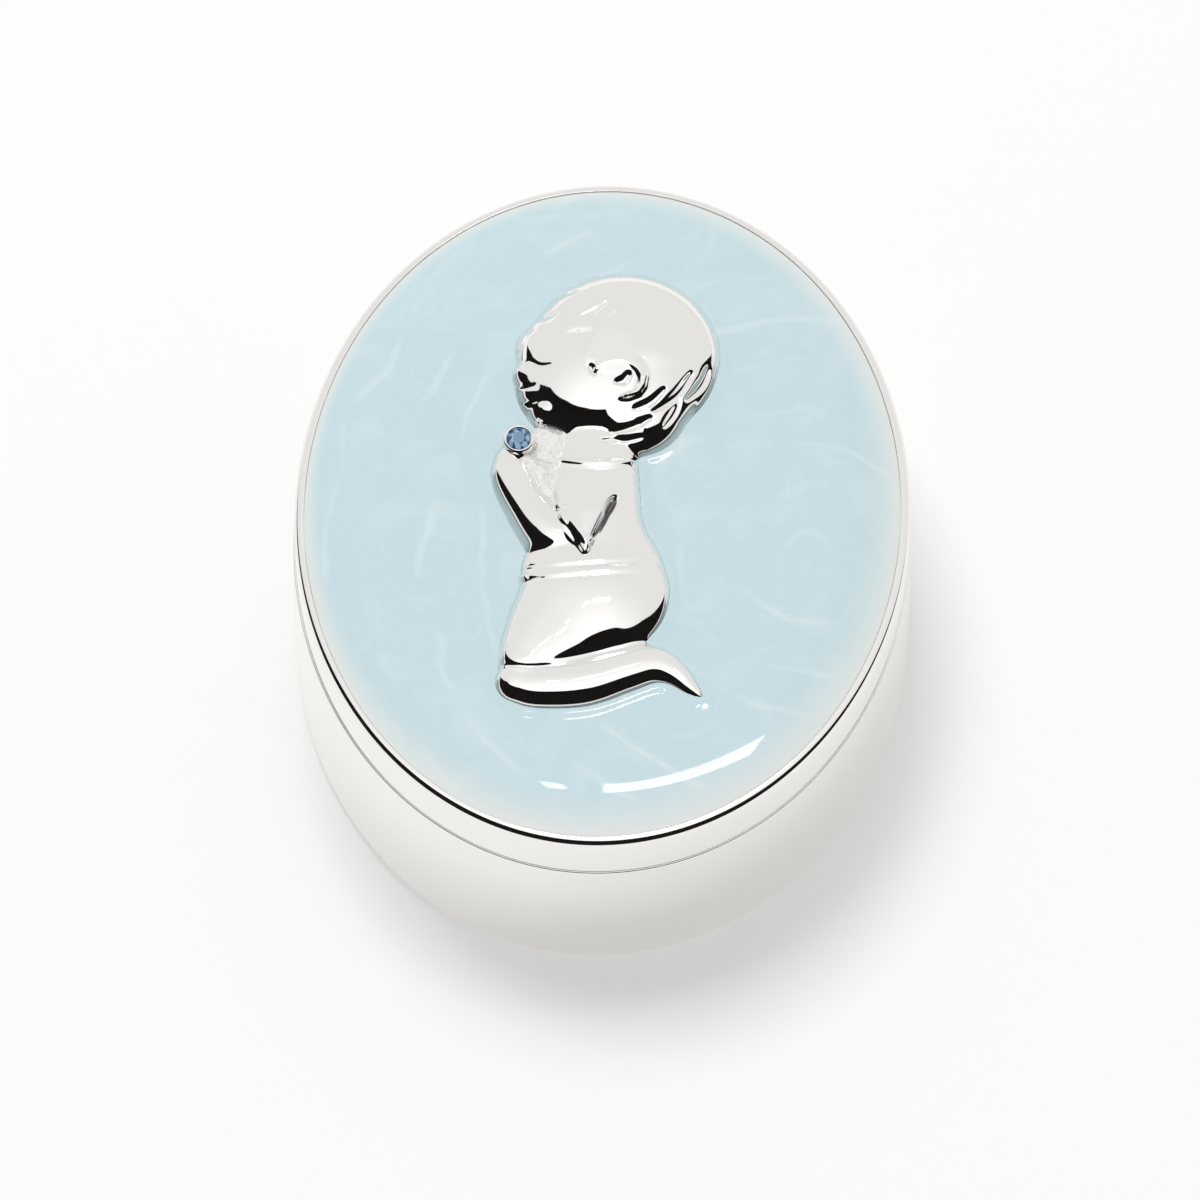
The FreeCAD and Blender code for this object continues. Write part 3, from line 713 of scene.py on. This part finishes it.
LEG = [
    (-7.0, -18.9, 2.5, 0, 2.6), (-5.0, -19.2, 2.7, 0, 2.8), (-1.0, -18.7, 2.85, 0, 2.9),
    (2.6, -17.4, 2.6, 0, 2.8), (5.2, -16.5, 2.35, 0, 2.6), (7.2, -17.1, 1.8, 0, 2.2),
    (9.0, -18.7, 1.2, 0, 1.8), (10.4, -19.9, 0.6, 0, 1.3),
]
FOREARM = [
    (-2.6, -4.3, 2.2, 0.7, 2.8), (-4.6, -3.5, 2.85, 0.4, 3.3), (-6.9, -0.7, 2.45, 0.2, 3.1),
    (-8.5, 2.5, 2.35, 0, 2.8), (-8.6, 4.4, 2.05, 0, 2.3),
]
CHEST = [(-3.5, 4.6, 2.3, 0, 2.3), (-3.6, 2.4, 2.4, 0, 2.45), (-3.3, 0.2, 2.4, 0, 2.7)]
NECK = [(-1.6, 8.4, 3.8, 0, 2.9), (-0.6, 5.2, 3.7, 0, 2.7)]
WEB = [(-5.5, 6.4, 2.4, 0, 1.85), (-5.3, 3.6, 2.0, 0, 1.7), (-4.7, 0.8, 1.6, 0, 1.5)]

# Outlines and lines on the relief, as seen from above the front, in millimetres.
SLEEVE = [
    (-4.3, 3.4), (-4.15, -0.7), (-2.7, -2.9), (-1.4, -5.0), (-0.7, -4.0), (0.2, -1.4), (0.95, 0.7),
    (2.2, 2.6), (1.4, 4.4), (-1.6, 4.6),
]
HAIR = [
    (-9.1, 19.2), (-6.5, 18.8), (-4.3, 18.6), (-1.7, 18.6), (-2.0, 17.2), (-2.2, 15.6), (-1.0, 14.2),
    (1.2, 12.0), (2.4, 8.8), (2.6, 4.4), (12.0, 4.4), (15.0, 18.0), (10.0, 29.0), (-4.0, 29.0),
    (-10.5, 23.0),
]
GRAIN_OUTLINE = [
    (-7.4, 7.8), (-3.6, 7.6), (-3.2, 4.0), (-3.7, 0.4), (-5.0, -0.8), (-6.4, 0.6), (-7.0, 4.0),
]
# The armpit's two strokes, carved in and painted darker as shade: points and half width.
ARMPIT = [
    ([(1.2, 1.1), (0.8, 0.2), (0.35, -0.9)], 0.52),
    ([(0.95, 0.6), (0.25, -1.3), (-0.75, -3.5)], 0.30),
]
# Strokes cut into the hair, the folds, the ear and the face: points, half width and depth.
CARVED_LINES = [
    ([(-6.4, 21.2), (-4.8, 22.1), (-3.2, 22.7)], 0.34, 0.17),
    ([(-6.3, 19.6), (-5.6, 20.0), (-4.9, 20.4)], 0.32, 0.14),
    ([(-3.0, 19.9), (-1.6, 20.6), (-0.4, 21.7)], 0.40, 0.20),
    ([(-0.6, 19.6), (0.0, 20.0), (0.5, 20.6)], 0.32, 0.14),
    ([(-4.6, 17.9), (-3.3, 18.3), (-2.2, 18.3)], 0.30, 0.10),
    ([(9.2, 15.3), (8.6, 13.4), (7.2, 11.6)], 0.60, 0.34),
    ([(7.7, 14.6), (6.4, 12.2), (4.2, 10.3)], 0.62, 0.38),
    ([(5.3, 12.9), (4.1, 11.4), (2.4, 10.5)], 0.55, 0.34),
    ([(6.7, 11.9), (6.2, 10.3), (5.3, 8.7)], 0.50, 0.30),
    ([(4.2, 9.8), (2.5, 8.7), (0.3, 8.0)], 0.55, 0.32),
    ([(3.4, 7.6), (1.6, 7.2), (-0.6, 7.1)], 0.45, 0.26),
    ([(-9.6, -16.7), (-5.6, -16.9), (-1.6, -16.5)], 0.24, 0.14),
    ([(-6.7, -6.85), (-0.3, -6.0), (5.5, -5.35)], 0.34, 0.10),
    ([(-7.4, -8.2), (0.0, -7.1), (6.1, -6.7)], 0.30, 0.08),
    ([(-4.6, 4.15), (-0.4, 3.95), (3.8, 4.5)], 0.22, 0.12),
    ([(1.9, 14.4), (1.5, 13.6), (0.7, 13.3)], 0.60, 0.40),
    ([(-1.75, 15.0), (-1.5, 14.5), (-1.3, 14.0)], 0.36, 0.30),
    ([(-7.5, 15.2), (-6.4, 14.7), (-5.3, 14.9)], 0.26, 0.16),
    ([(-8.2, 12.25), (-7.4, 12.3), (-6.9, 12.6)], 0.26, 0.14),
    ([(-8.3, 10.8), (-7.3, 10.75), (-6.4, 11.1)], 0.26, 0.16),
]
# Bands that stand up at the belt, the neck, the cuff and the ear: points, half width and rise.
RAISED_LINES = [
    ([(-6.5, -6.2), (-0.45, -5.4), (5.2, -4.65)], 0.52, 0.10),
    ([(-6.9, -7.55), (0.07, -6.5), (5.6, -6.05)], 0.52, 0.11),
    ([(-4.4, 4.8), (-0.4, 4.7), (3.6, 5.1)], 0.42, 0.20),
    ([(-4.15, -0.5), (-3.0, -2.9), (-1.35, -5.0)], 0.42, 0.22),
    ([(-3.4, -0.2), (-2.35, -2.5), (-0.9, -4.5)], 0.42, 0.18),
    ([(-1.3, 14.3), (-0.3, 15.7), (1.7, 15.9), (3.2, 14.3), (2.9, 12.3), (1.2, 11.6)], 0.62, 0.50),
    ([(-7.4, -8.0), (-7.1, -7.8), (-6.8, -7.6)], 0.55, 0.45),
]

# Heights, depths, soft edges and starting places of the forms and marks above, in millimetres.
SLEEVE_RISE = 1.0
SLEEVE_SHOULDER = 1.9
SLEEVE_TOP = 3.2
SLEEVE_FADE = 4.2
HAIR_RISE = 0.26
HAIR_EDGE = 0.7
HAIR_START = 14.4
HAIR_FADE = 2.4
ARMPIT_DEPTH = 0.4
LUMP_HEIGHT = 0.17
GRAIN_EDGE = 0.8
GRAIN_REACH = 0.95
GRAIN_FADE = 0.4


def buffed(height, columns, rounds):
    """Heights on a grid of so many columns, eased as a polishing wheel eases them."""
    rows = height.reshape(-1, columns)
    for _ in range(rounds):
        rows[:, 1:-1] = 0.25 * rows[:, :-2] + 0.5 * rows[:, 1:-1] + 0.25 * rows[:, 2:]
        rows[1:-1] = 0.25 * rows[:-2] + 0.5 * rows[1:-1] + 0.25 * rows[2:]
    return rows.reshape(-1)


def relief_height(x, y, columns):
    """Height of the relief above its widest line, its frosted share and its armpit crease, where shade is
    painted darker, over the lid.
    """
    body = meld(limb(x, y, SHIRT, power=2.3), limb(x, y, NECK, power=2.2), blend=0.5)
    body = meld(body, limb(x, y, CHEST), blend=0.9)
    seat = meld(limb(x, y, HIPS, power=2.2), limb(x, y, THIGH, power=2.8), blend=0.8)
    body = meld(body, seat, blend=0.25)
    body = meld(body, limb(x, y, LEG), blend=0.15)
    lumps = np.sin(2.7 * x + 1.1 * y) * np.cos(2.2 * y - 1.5 * x) + 0.6 * np.sin(4.6 * y + 2.0 * x)
    web = limb(x, y, WEB, power=2.6) + LUMP_HEIGHT * lumps
    body = meld(body, web, blend=0.9)
    body = meld(body, limb(x, y, FOREARM), blend=0.2)
    body = buffed(body, columns, rounds=16)

    head = meld(dome(x, y, SKULL), dome(x, y, JAW), blend=2.2)
    head = meld(head, limb(x, y, NAPE), blend=1.4)
    for row, blend in FACE_ROUNDS:
        head = meld(head, dome(x, y, row), blend)
    height = meld(body, head, blend=0.3)

    seen = y + MARK_SHIFT * (np.maximum(height, MARK_LEAST_HEIGHT) + RELIEF_LINE - MARK_LEVEL)
    arm = ease((SLEEVE_TOP - seen) / SLEEVE_FADE)
    height = height + arm * np.maximum(0.0, swell(x, seen, SLEEVE, SLEEVE_SHOULDER, SLEEVE_RISE))
    standing = height > MARKED_HEIGHT
    cap = ease(0.5 + depth_inside(x, seen, HAIR) / HAIR_EDGE)
    height = height + HAIR_RISE * cap * ease((seen - HAIR_START) / HAIR_FADE) * standing
    for points, width, depth in CARVED_LINES:
        height = height - depth * stroke(x, seen, points, width) * standing
    for points, width, rise in RAISED_LINES:
        height = height + rise * stroke(x, seen, points, width) * standing
    grain = ease(0.5 + depth_inside(x, seen, GRAIN_OUTLINE) / GRAIN_EDGE)
    grain = grain * ease((web + GRAIN_REACH - height) / GRAIN_FADE)
    crease = np.zeros(x.shape)
    for points, width in ARMPIT:
        crease = np.maximum(crease, stroke(x, seen, points, width))
    return height - ARMPIT_DEPTH * crease, grain, crease


class KEEPSAKE_OT_figure(bpy.types.Operator):
    """Sculpt the cast relief of the kneeling child from a fine grid"""

    bl_idname = "keepsake.figure"
    bl_label = "Relief"

    def execute(self, context):
        size = GRID_HIGH - GRID_LOW
        middle = (GRID_HIGH + GRID_LOW) / 2
        across, along = round(size.x / GRID_STEP), round(size.y / GRID_STEP)
        bm = bmesh.new()
        bmesh.ops.create_grid(bm, x_segments=across, y_segments=along, size=0.5)
        bmesh.ops.scale(bm, vec=(size.x, size.y, 1.0), verts=bm.verts)
        bmesh.ops.translate(bm, vec=(middle.x, middle.y, 0.0), verts=bm.verts)
        place = np.array([vert.co[:2] for vert in bm.verts])
        height, grain, crease = relief_height(place[:, 0], place[:, 1], across + 1)
        level = np.maximum(RELIEF_LINE + height, TRAY_FLOOR)
        level = np.minimum(level, FIGURE_HIGH.z / MM - TOP_ROOM)
        mask = bm.verts.layers.float.new("cast_grain")
        for vert, z, share in zip(bm.verts, level, grain):
            vert.co.z = z
            vert[mask] = share
        for _ in range(GRID_SMOOTHING):
            bmesh.ops.smooth_vert(bm, verts=bm.verts, factor=0.5, use_axis_z=True)
        poured = ENAMEL_EDGE_Z + ENAMEL_CROWN + shape().meniscus_rise / MM
        # Painted shade: the armpit's crease, and a dark line where the silver meets the poured enamel
        # outside the frosted patch, are marked for darkening.
        dark = bm.verts.layers.float.new("painted_crease_shade")
        for vert, shade in zip(bm.verts, crease):
            waterline = WATERLINE_TONE - abs(vert.co.z - poured) / WATERLINE_WIDTH
            vert[dark] = max(shade, waterline * (1.0 - vert[mask]))
        bare = [f for f in bm.faces if max(v.co.z for v in f.verts) < TRAY_FLOOR + 0.001]
        bmesh.ops.delete(bm, geom=bare, context="FACES")
        edges = [edge for edge in bm.edges if edge.is_boundary]
        bmesh.ops.holes_fill(bm, edges=edges)
        bmesh.ops.scale(bm, vec=(MM, MM, MM), verts=bm.verts)
        new_piece("praying_child", bm, cast_silver(), "lid", "silver_plate", "praying_figure")
        return {"FINISHED"}


class KEEPSAKE_OT_enamel(bpy.types.Operator):
    """Pour the domed enamel round the relief"""

    bl_idname = "keepsake.enamel"
    bl_label = "Enamel"

    def execute(self, context):
        child = bpy.data.objects["praying_child"].data
        places = [vert.co[:] for vert in child.vertices]
        tree = BVHTree.FromPolygons(places, [face.vertices[:] for face in child.polygons])
        half_x, half_y = ENAMEL_HIGH.x, ENAMEL_HIGH.y
        bm = bmesh.new()
        edges = start_ring(bm, half_x, half_y, TRAY_FLOOR * MM)
        bmesh.ops.edgeloop_fill(bm, edges=edges)
        edges = next_ring(bm, edges, 1.0, 1.0, (ENAMEL_EDGE_Z - TRAY_FLOOR) * MM)
        count = shape().enamel_rings
        share = 1.0
        for number in range(1, count):
            new_share = 1.0 - number / count
            edges = next_ring(bm, edges, new_share / share, new_share / share, 0.0)
            share = new_share
        bmesh.ops.edgeloop_fill(bm, edges=edges)
        thin = bm.verts.layers.float.new("thin_edge")
        roll = shape().edge_roll
        underside = (TRAY_FLOOR + ENAMEL_EDGE_Z) / 2 * MM
        for vert in bm.verts:
            if vert.co.z < underside:
                continue
            out = math.hypot(vert.co.x / half_x, vert.co.y / half_y)
            near = (1.0 - out) * (half_x + half_y) / 2
            fall = max(0.0, 1.0 - near / roll)
            vert.co.z = (ENAMEL_EDGE_Z + ENAMEL_CROWN * (1.0 - fall * fall)) * MM
            hit, _, _, away = tree.find_nearest(vert.co, MENISCUS_SEARCH * shape().meniscus_reach)
            if hit is not None:
                vert.co.z += shape().meniscus_rise * math.exp(-((away / shape().meniscus_reach) ** 2))
            angle = math.atan2(vert.co.y, vert.co.x)
            wide = THIN_WIDTH + THIN_CHANGE * math.cos(angle - THIN_SIDE)
            vert[thin] = max(0.0, 1.0 - near / (wide * MM)) ** THIN_FALL
        new_piece("enamel", bm, pearl_enamel(), "lid", "pearl_enamel", "enamel_fill")
        return {"FINISHED"}


# The crystal's girdle: its share of the height, and its band in metres. Then how fast the painted highlight
# and shade on the facets change with their turn and their tilt.
GIRDLE_SHARE = 0.66
GIRDLE_BAND = 0.08 * MM
GLINT_BY_TURN = 7.0
GLINT_BY_TILT = 9.0

# The cup's room round the crystal, and the drop of its lip's outer edge and of its rounding, in metres.
CUP_ROOM = 0.02 * MM
LIP_DROP = 0.16 * MM
LIP_EASE = 0.04 * MM


class KEEPSAKE_OT_crystal(bpy.types.Operator):
    """Cut the crystal and turn its silver cup"""

    bl_idname = "keepsake.crystal"
    bl_label = "Crystal and cup"

    def execute(self, context):
        middle = (CRYSTAL_LOW + CRYSTAL_HIGH) / 2
        radius = (CRYSTAL_HIGH.x - CRYSTAL_LOW.x) / 2
        low, high = CRYSTAL_LOW.z, CRYSTAL_HIGH.z
        girdle = low + (high - low) * GIRDLE_SHARE
        bm = bmesh.new()
        # Each row of corners: how many, their share of the radius, their level, and their turn in degrees.
        cuts = [
            (8, 0.10, low, 0),
            (8, 0.62, low + (girdle - low) * 0.55, 22.5),
            (16, 1.0, girdle, 11.25),
            (16, 1.0, girdle + GIRDLE_BAND, 11.25),
            (8, 0.80, girdle + (high - girdle) * 0.62, 22.5),
            (8, 0.56, high, 0),
        ]
        for sides, share, level, turn in cuts:
            ring = bmesh.ops.create_circle(bm, segments=sides, radius=radius * share)["verts"]
            turned = Matrix.Rotation(math.radians(turn), 3, "Z")
            bmesh.ops.rotate(bm, cent=(0, 0, 0), matrix=turned, verts=ring)
            bmesh.ops.translate(bm, vec=(middle.x, middle.y, level), verts=ring)
        bmesh.ops.convex_hull(bm, input=bm.verts)
        crystal = new_piece("blue_stone", bm, blue_crystal(), "lid", "blue_crystal", "crystal")
        crystal.data.shade_flat()
        # Each facet gets a painted tone, bright as a highlight or dark as shade, by its turn and tilt; the
        # table stays between.
        glint = crystal.data.attributes.new("painted_facet_light", "FLOAT", "FACE")
        for face in crystal.data.polygons:
            turn = math.atan2(face.normal.y, face.normal.x)
            tone = 0.5 + math.sin(GLINT_BY_TURN * turn + GLINT_BY_TILT * face.normal.z)
            table = face.normal.z > 0.99
            glint.data[face.index].value = 0.5 if table else min(1.0, max(0.0, tone))

        outside = (CUP_HIGH.x - CUP_LOW.x) / 2
        middle = (CUP_LOW + CUP_HIGH) / 2
        bm = bmesh.new()
        foot, lip = CUP_LOW.z, CUP_HIGH.z
        profile = [
            (0.0, foot),
            (outside * 0.94, foot),
            (outside, foot + 0.12 * MM),
            (outside, lip - LIP_DROP),
            (outside - 0.08 * MM, lip - LIP_EASE),
            (outside - 0.19 * MM, lip),
            (outside - 0.30 * MM, lip - LIP_EASE),
            (radius + CUP_ROOM, lip - LIP_DROP),
            (radius + CUP_ROOM, girdle),
            (radius * 0.2, low),
            (0.0, low - CUP_ROOM),
        ]
        verts = [bm.verts.new((middle.x + out, middle.y, level)) for out, level in profile]
        edges = [bm.edges.new(pair) for pair in zip(verts[:-1], verts[1:])]
        bmesh.ops.spin(
            bm, geom=verts + edges, cent=(middle.x, middle.y, 0), axis=(0, 0, 1), angle=math.tau, steps=48,
            use_merge=True,
        )
        plate = silver_plate("silver_plate_cup", roughness=0.08, waviness=0.0)
        new_piece("stone_cup", bm, plate, "lid", "silver_plate", "crystal_cup")
        return {"FINISHED"}


# Camera fitted to the ovals of the rim, the seam and the foot: degrees, metres, and a lens in millimetres.
VIEW_AZIMUTH = 2.62
VIEW_ELEVATION = 62.0
VIEW_DISTANCE = 1.97326
VIEW_LENS = 631.4
VIEW_SIDE = -0.000235
VIEW_LIFT = 0.002685

# The floor's share of plain white for the camera, and for what silver and crystal show.
FLOOR_LIFT = 0.38
MIRROR_LIFT = 0.47

# The room's light, and the white tent that silver and crystal show: its base, and a glow towards one side.
ROOM_STRENGTH = 0.47
TENT_BASE = 0.86
TENT_GLOW = 0.42
TENT_GLOW_POWER = 5.0
TENT_GLOW_SIDE = (0.0, -0.407, 0.914)

# The lamps: places and sizes in metres, radiances, and the strip's turn in degrees.
STRIP_PLACE = Vector((0.130, 0.262, 1.20))
STRIP_SIZE = (0.27, 0.058)
STRIP_TURN = 28.7
STRIP_RADIANCE = 9.0
SPOT_SIZE = (0.035, 0.035)
SPOT_FROM_STRIP = 0.21
KEY_PLACE = Vector((-0.27, 0.48, 1.60))
KEY_SIZE = (0.62, 0.62)
KEY_RADIANCE = 13.2

# The black flag in metres, and its upper hem: degrees round from the front, and degrees above the floor.
FLAG_DISTANCE = 1.3
FLAG_FOOT = 0.04
FLAG_TOP = 1.0
FLAG_STEPS = 64
FLAG_HEMS = [
    (-122, 0.5), (-108, 22), (-92, 46), (-60, 57), (-25, 61), (20, 61), (50, 55), (80, 40), (98, 20),
    (116, 0.5),
]


class KEEPSAKE_OT_stage(bpy.types.Operator):
    """Set the white floor, the soft light and the camera"""

    bl_idname = "keepsake.stage"
    bl_label = "Stage"

    def execute(self, context):
        scene = bpy.context.scene
        scene.view_settings.view_transform = "Standard"
        self.floor(scene)
        self.room(scene)
        self.flag(scene)
        strip = self.softbox(scene, "overhead_strip", STRIP_PLACE, STRIP_SIZE, STRIP_RADIANCE)
        strip.matrix_world = strip.matrix_world @ Matrix.Rotation(math.radians(STRIP_TURN), 4, "Z")
        along = strip.matrix_world.to_3x3() @ Vector((SPOT_FROM_STRIP, 0.0, 0.0))
        spot_place = strip.matrix_world.translation - along * math.copysign(1.0, along.x)
        self.softbox(scene, "overhead_spot", spot_place, SPOT_SIZE, STRIP_RADIANCE)
        key = self.softbox(scene, "back_key", KEY_PLACE, KEY_SIZE, KEY_RADIANCE)
        key.visible_glossy = False
        self.camera(scene)
        return {"FINISHED"}

    def floor(self, scene):
        """A flat floor of white paper, lifted towards white without losing the shadow."""
        bm = bmesh.new()
        bmesh.ops.create_grid(bm, x_segments=2, y_segments=2, size=4.0)
        mesh = bpy.data.meshes.new("floor")
        bm.to_mesh(mesh)
        bm.free()
        floor = bpy.data.objects.new("floor", mesh)
        scene.collection.objects.link(floor)
        material, tree, output = new_material("white_paper_sweep")
        rays = add_node(tree, "ShaderNodeLightPath")
        mirrored = add_node(
            tree, "ShaderNodeMath", {"operation": "ADD", "use_clamp": True},
            i0=rays.outputs["Is Glossy Ray"], i1=rays.outputs["Is Transmission Ray"],
        )
        direct = add_node(
            tree, "ShaderNodeMath", {"operation": "MULTIPLY"},
            i0=rays.outputs["Is Camera Ray"], i1=FLOOR_LIFT,
        )
        lift = add_node(
            tree, "ShaderNodeMath", {"operation": "MULTIPLY_ADD"},
            i0=mirrored.outputs[0], i1=MIRROR_LIFT, i2=direct.outputs[0],
        )
        paper = add_node(tree, "ShaderNodeBsdfDiffuse", Color=(0.95, 0.95, 0.95, 1.0))
        warmth = add_node(
            tree, "ShaderNodeMix", {"data_type": "RGBA"},
            Factor=mirrored.outputs[0], A=(1.0, 1.0, 1.0, 1.0), B=(1.0, 0.98, 0.95, 1.0),
        )
        glow = add_node(tree, "ShaderNodeEmission", Color=warmth.outputs["Result"], Strength=1.0)
        mixed = add_node(
            tree, "ShaderNodeMixShader", i0=lift.outputs[0], i1=paper.outputs[0], i2=glow.outputs[0],
        )
        tree.links.new(mixed.outputs[0], output.inputs["Surface"])
        mesh.materials.append(material)

    def room(self, scene):
        """White for the camera, a soft light on the box, and a tent that silver and crystal show."""
        world = bpy.data.worlds.new("soft_studio")
        scene.world = world
        world.use_nodes = True
        tree = world.node_tree
        tree.nodes.clear()
        rays = add_node(tree, "ShaderNodeLightPath")
        mirrored = add_node(
            tree, "ShaderNodeMath", {"operation": "ADD", "use_clamp": True},
            i0=rays.outputs["Is Glossy Ray"], i1=rays.outputs["Is Transmission Ray"],
        )
        towards = add_node(tree, "ShaderNodeTexCoord")
        facing = add_node(
            tree, "ShaderNodeVectorMath", {"operation": "DOT_PRODUCT"},
            i0=towards.outputs["Generated"], i1=TENT_GLOW_SIDE,
        )
        ahead = add_node(
            tree, "ShaderNodeMath", {"operation": "MAXIMUM"}, i0=facing.outputs["Value"], i1=0.0,
        )
        glow = add_node(
            tree, "ShaderNodeMath", {"operation": "POWER"}, i0=ahead.outputs[0], i1=TENT_GLOW_POWER,
        )
        rise = add_node(
            tree, "ShaderNodeMath", {"operation": "MULTIPLY_ADD"},
            i0=glow.outputs[0], i1=TENT_GLOW, i2=TENT_BASE,
        )
        ambient = add_node(
            tree, "ShaderNodeBackground", Color=(1.0, 0.995, 0.985, 1.0), Strength=ROOM_STRENGTH,
        )
        tent = add_node(
            tree, "ShaderNodeBackground", Color=(1.0, 0.993, 0.982, 1.0), Strength=rise.outputs[0],
        )
        white = add_node(tree, "ShaderNodeBackground", Color=(1.0, 1.0, 1.0, 1.0), Strength=1.0)
        lit = add_node(
            tree, "ShaderNodeMixShader", i0=mirrored.outputs[0], i1=ambient.outputs[0], i2=tent.outputs[0],
        )
        shown = add_node(
            tree, "ShaderNodeMixShader",
            i0=rays.outputs["Is Camera Ray"], i1=lit.outputs[0], i2=white.outputs[0],
        )
        add_node(tree, "ShaderNodeOutputWorld", Surface=shown.outputs[0])

    def flag(self, scene):
        """A black cloth round the left, front and right, seen only in silver, enamel and crystal."""
        bm = bmesh.new()
        start = Matrix.Rotation(math.radians(FLAG_HEMS[0][0]), 3, "Z") @ Vector((0, -FLAG_DISTANCE, 0))
        ends = [bm.verts.new(start + Vector((0, 0, level))) for level in (FLAG_FOOT, FLAG_TOP)]
        edge = bm.edges.new(ends)
        turn = math.radians(FLAG_HEMS[-1][0] - FLAG_HEMS[0][0])
        bmesh.ops.spin(
            bm, geom=ends + [edge], cent=(0, 0, 0), axis=(0, 0, 1), angle=turn, steps=FLAG_STEPS,
        )
        turns, hems = zip(*FLAG_HEMS)
        for vert in bm.verts:
            if vert.co.z > (FLAG_FOOT + FLAG_TOP) / 2:
                at = math.degrees(math.atan2(vert.co.x, -vert.co.y))
                vert.co.z = FLAG_DISTANCE * math.tan(math.radians(np.interp(at, turns, hems)))
        mesh = bpy.data.meshes.new("black_flag")
        bm.to_mesh(mesh)
        bm.free()
        material, tree, output = new_material("black_flag")
        cloth = add_node(tree, "ShaderNodeBsdfDiffuse", Color=(0.012, 0.011, 0.010, 1.0))
        tree.links.new(cloth.outputs[0], output.inputs["Surface"])
        mesh.materials.append(material)
        card = bpy.data.objects.new("black_flag", mesh)
        card.visible_camera = False
        card.visible_diffuse = False
        card.visible_shadow = False
        scene.collection.objects.link(card)

    def softbox(self, scene, name, place, size, radiance):
        """A soft light of the given radiance, aimed at the box."""
        width, height = size
        light = bpy.data.lights.new(name, "AREA")
        light.shape = "RECTANGLE"
        light.size, light.size_y = width, height
        light.energy = radiance * math.pi * width * height
        lamp = bpy.data.objects.new(name, light)
        aim = (-place).to_track_quat("-Z", "Y").to_matrix().to_4x4()
        lamp.matrix_world = Matrix.Translation(place) @ aim
        lamp.visible_camera = False
        scene.collection.objects.link(lamp)
        return lamp

    def camera(self, scene):
        """The photograph's view from above the front."""
        azimuth, elevation = math.radians(VIEW_AZIMUTH), math.radians(VIEW_ELEVATION)
        out = math.cos(elevation)
        back = Vector((math.sin(azimuth) * out, -math.cos(azimuth) * out, math.sin(elevation)))
        right = Vector((math.cos(azimuth), math.sin(azimuth), 0.0))
        up = back.cross(right)
        camera = bpy.data.objects.new("camera", bpy.data.cameras.new("camera"))
        camera.data.lens = VIEW_LENS
        camera.data.sensor_width = 36.0
        camera.data.clip_end = 20.0
        place = back * VIEW_DISTANCE + right * VIEW_SIDE + up * VIEW_LIFT
        camera.matrix_world = Matrix.Translation(place) @ Matrix((right, up, back)).transposed().to_4x4()
        scene.collection.objects.link(camera)
        scene.camera = camera


class KEEPSAKE_PT_pieces(bpy.types.Panel):
    """Lists the sizes, the colours and the pieces of the keepsake box"""

    bl_idname = "KEEPSAKE_PT_pieces"
    bl_label = "Keepsake box"
    bl_space_type = "VIEW_3D"
    bl_region_type = "UI"
    bl_category = "Keepsake"

    def draw(self, context):
        for group in (context.scene.keepsake_shape, context.scene.keepsake_finish):
            for name in group.__annotations__:
                self.layout.prop(group, name)
        for operator in OPERATORS:
            self.layout.operator(operator.bl_idname)


OPERATORS = (
    KEEPSAKE_OT_stage,
    KEEPSAKE_OT_body,
    KEEPSAKE_OT_lid,
    KEEPSAKE_OT_linings,
    KEEPSAKE_OT_felt,
    KEEPSAKE_OT_figure,
    KEEPSAKE_OT_enamel,
    KEEPSAKE_OT_crystal,
)
CLASSES = (KeepsakeShape, KeepsakeFinish, *OPERATORS, KEEPSAKE_PT_pieces)


def register():
    for item in CLASSES:
        bpy.utils.register_class(item)
    bpy.types.Scene.keepsake_shape = bpy.props.PointerProperty(type=KeepsakeShape)
    bpy.types.Scene.keepsake_finish = bpy.props.PointerProperty(type=KeepsakeFinish)


def unregister():
    del bpy.types.Scene.keepsake_finish
    del bpy.types.Scene.keepsake_shape
    for item in reversed(CLASSES):
        bpy.utils.unregister_class(item)


def main():
    register()
    bpy.ops.keepsake.stage()
    bpy.ops.keepsake.body()
    bpy.ops.keepsake.lid()
    bpy.ops.keepsake.linings()
    bpy.ops.keepsake.felt()
    bpy.ops.keepsake.figure()
    bpy.ops.keepsake.enamel()
    bpy.ops.keepsake.crystal()
    bpy.context.view_layer.update()


if __name__ == "__main__":
    main()
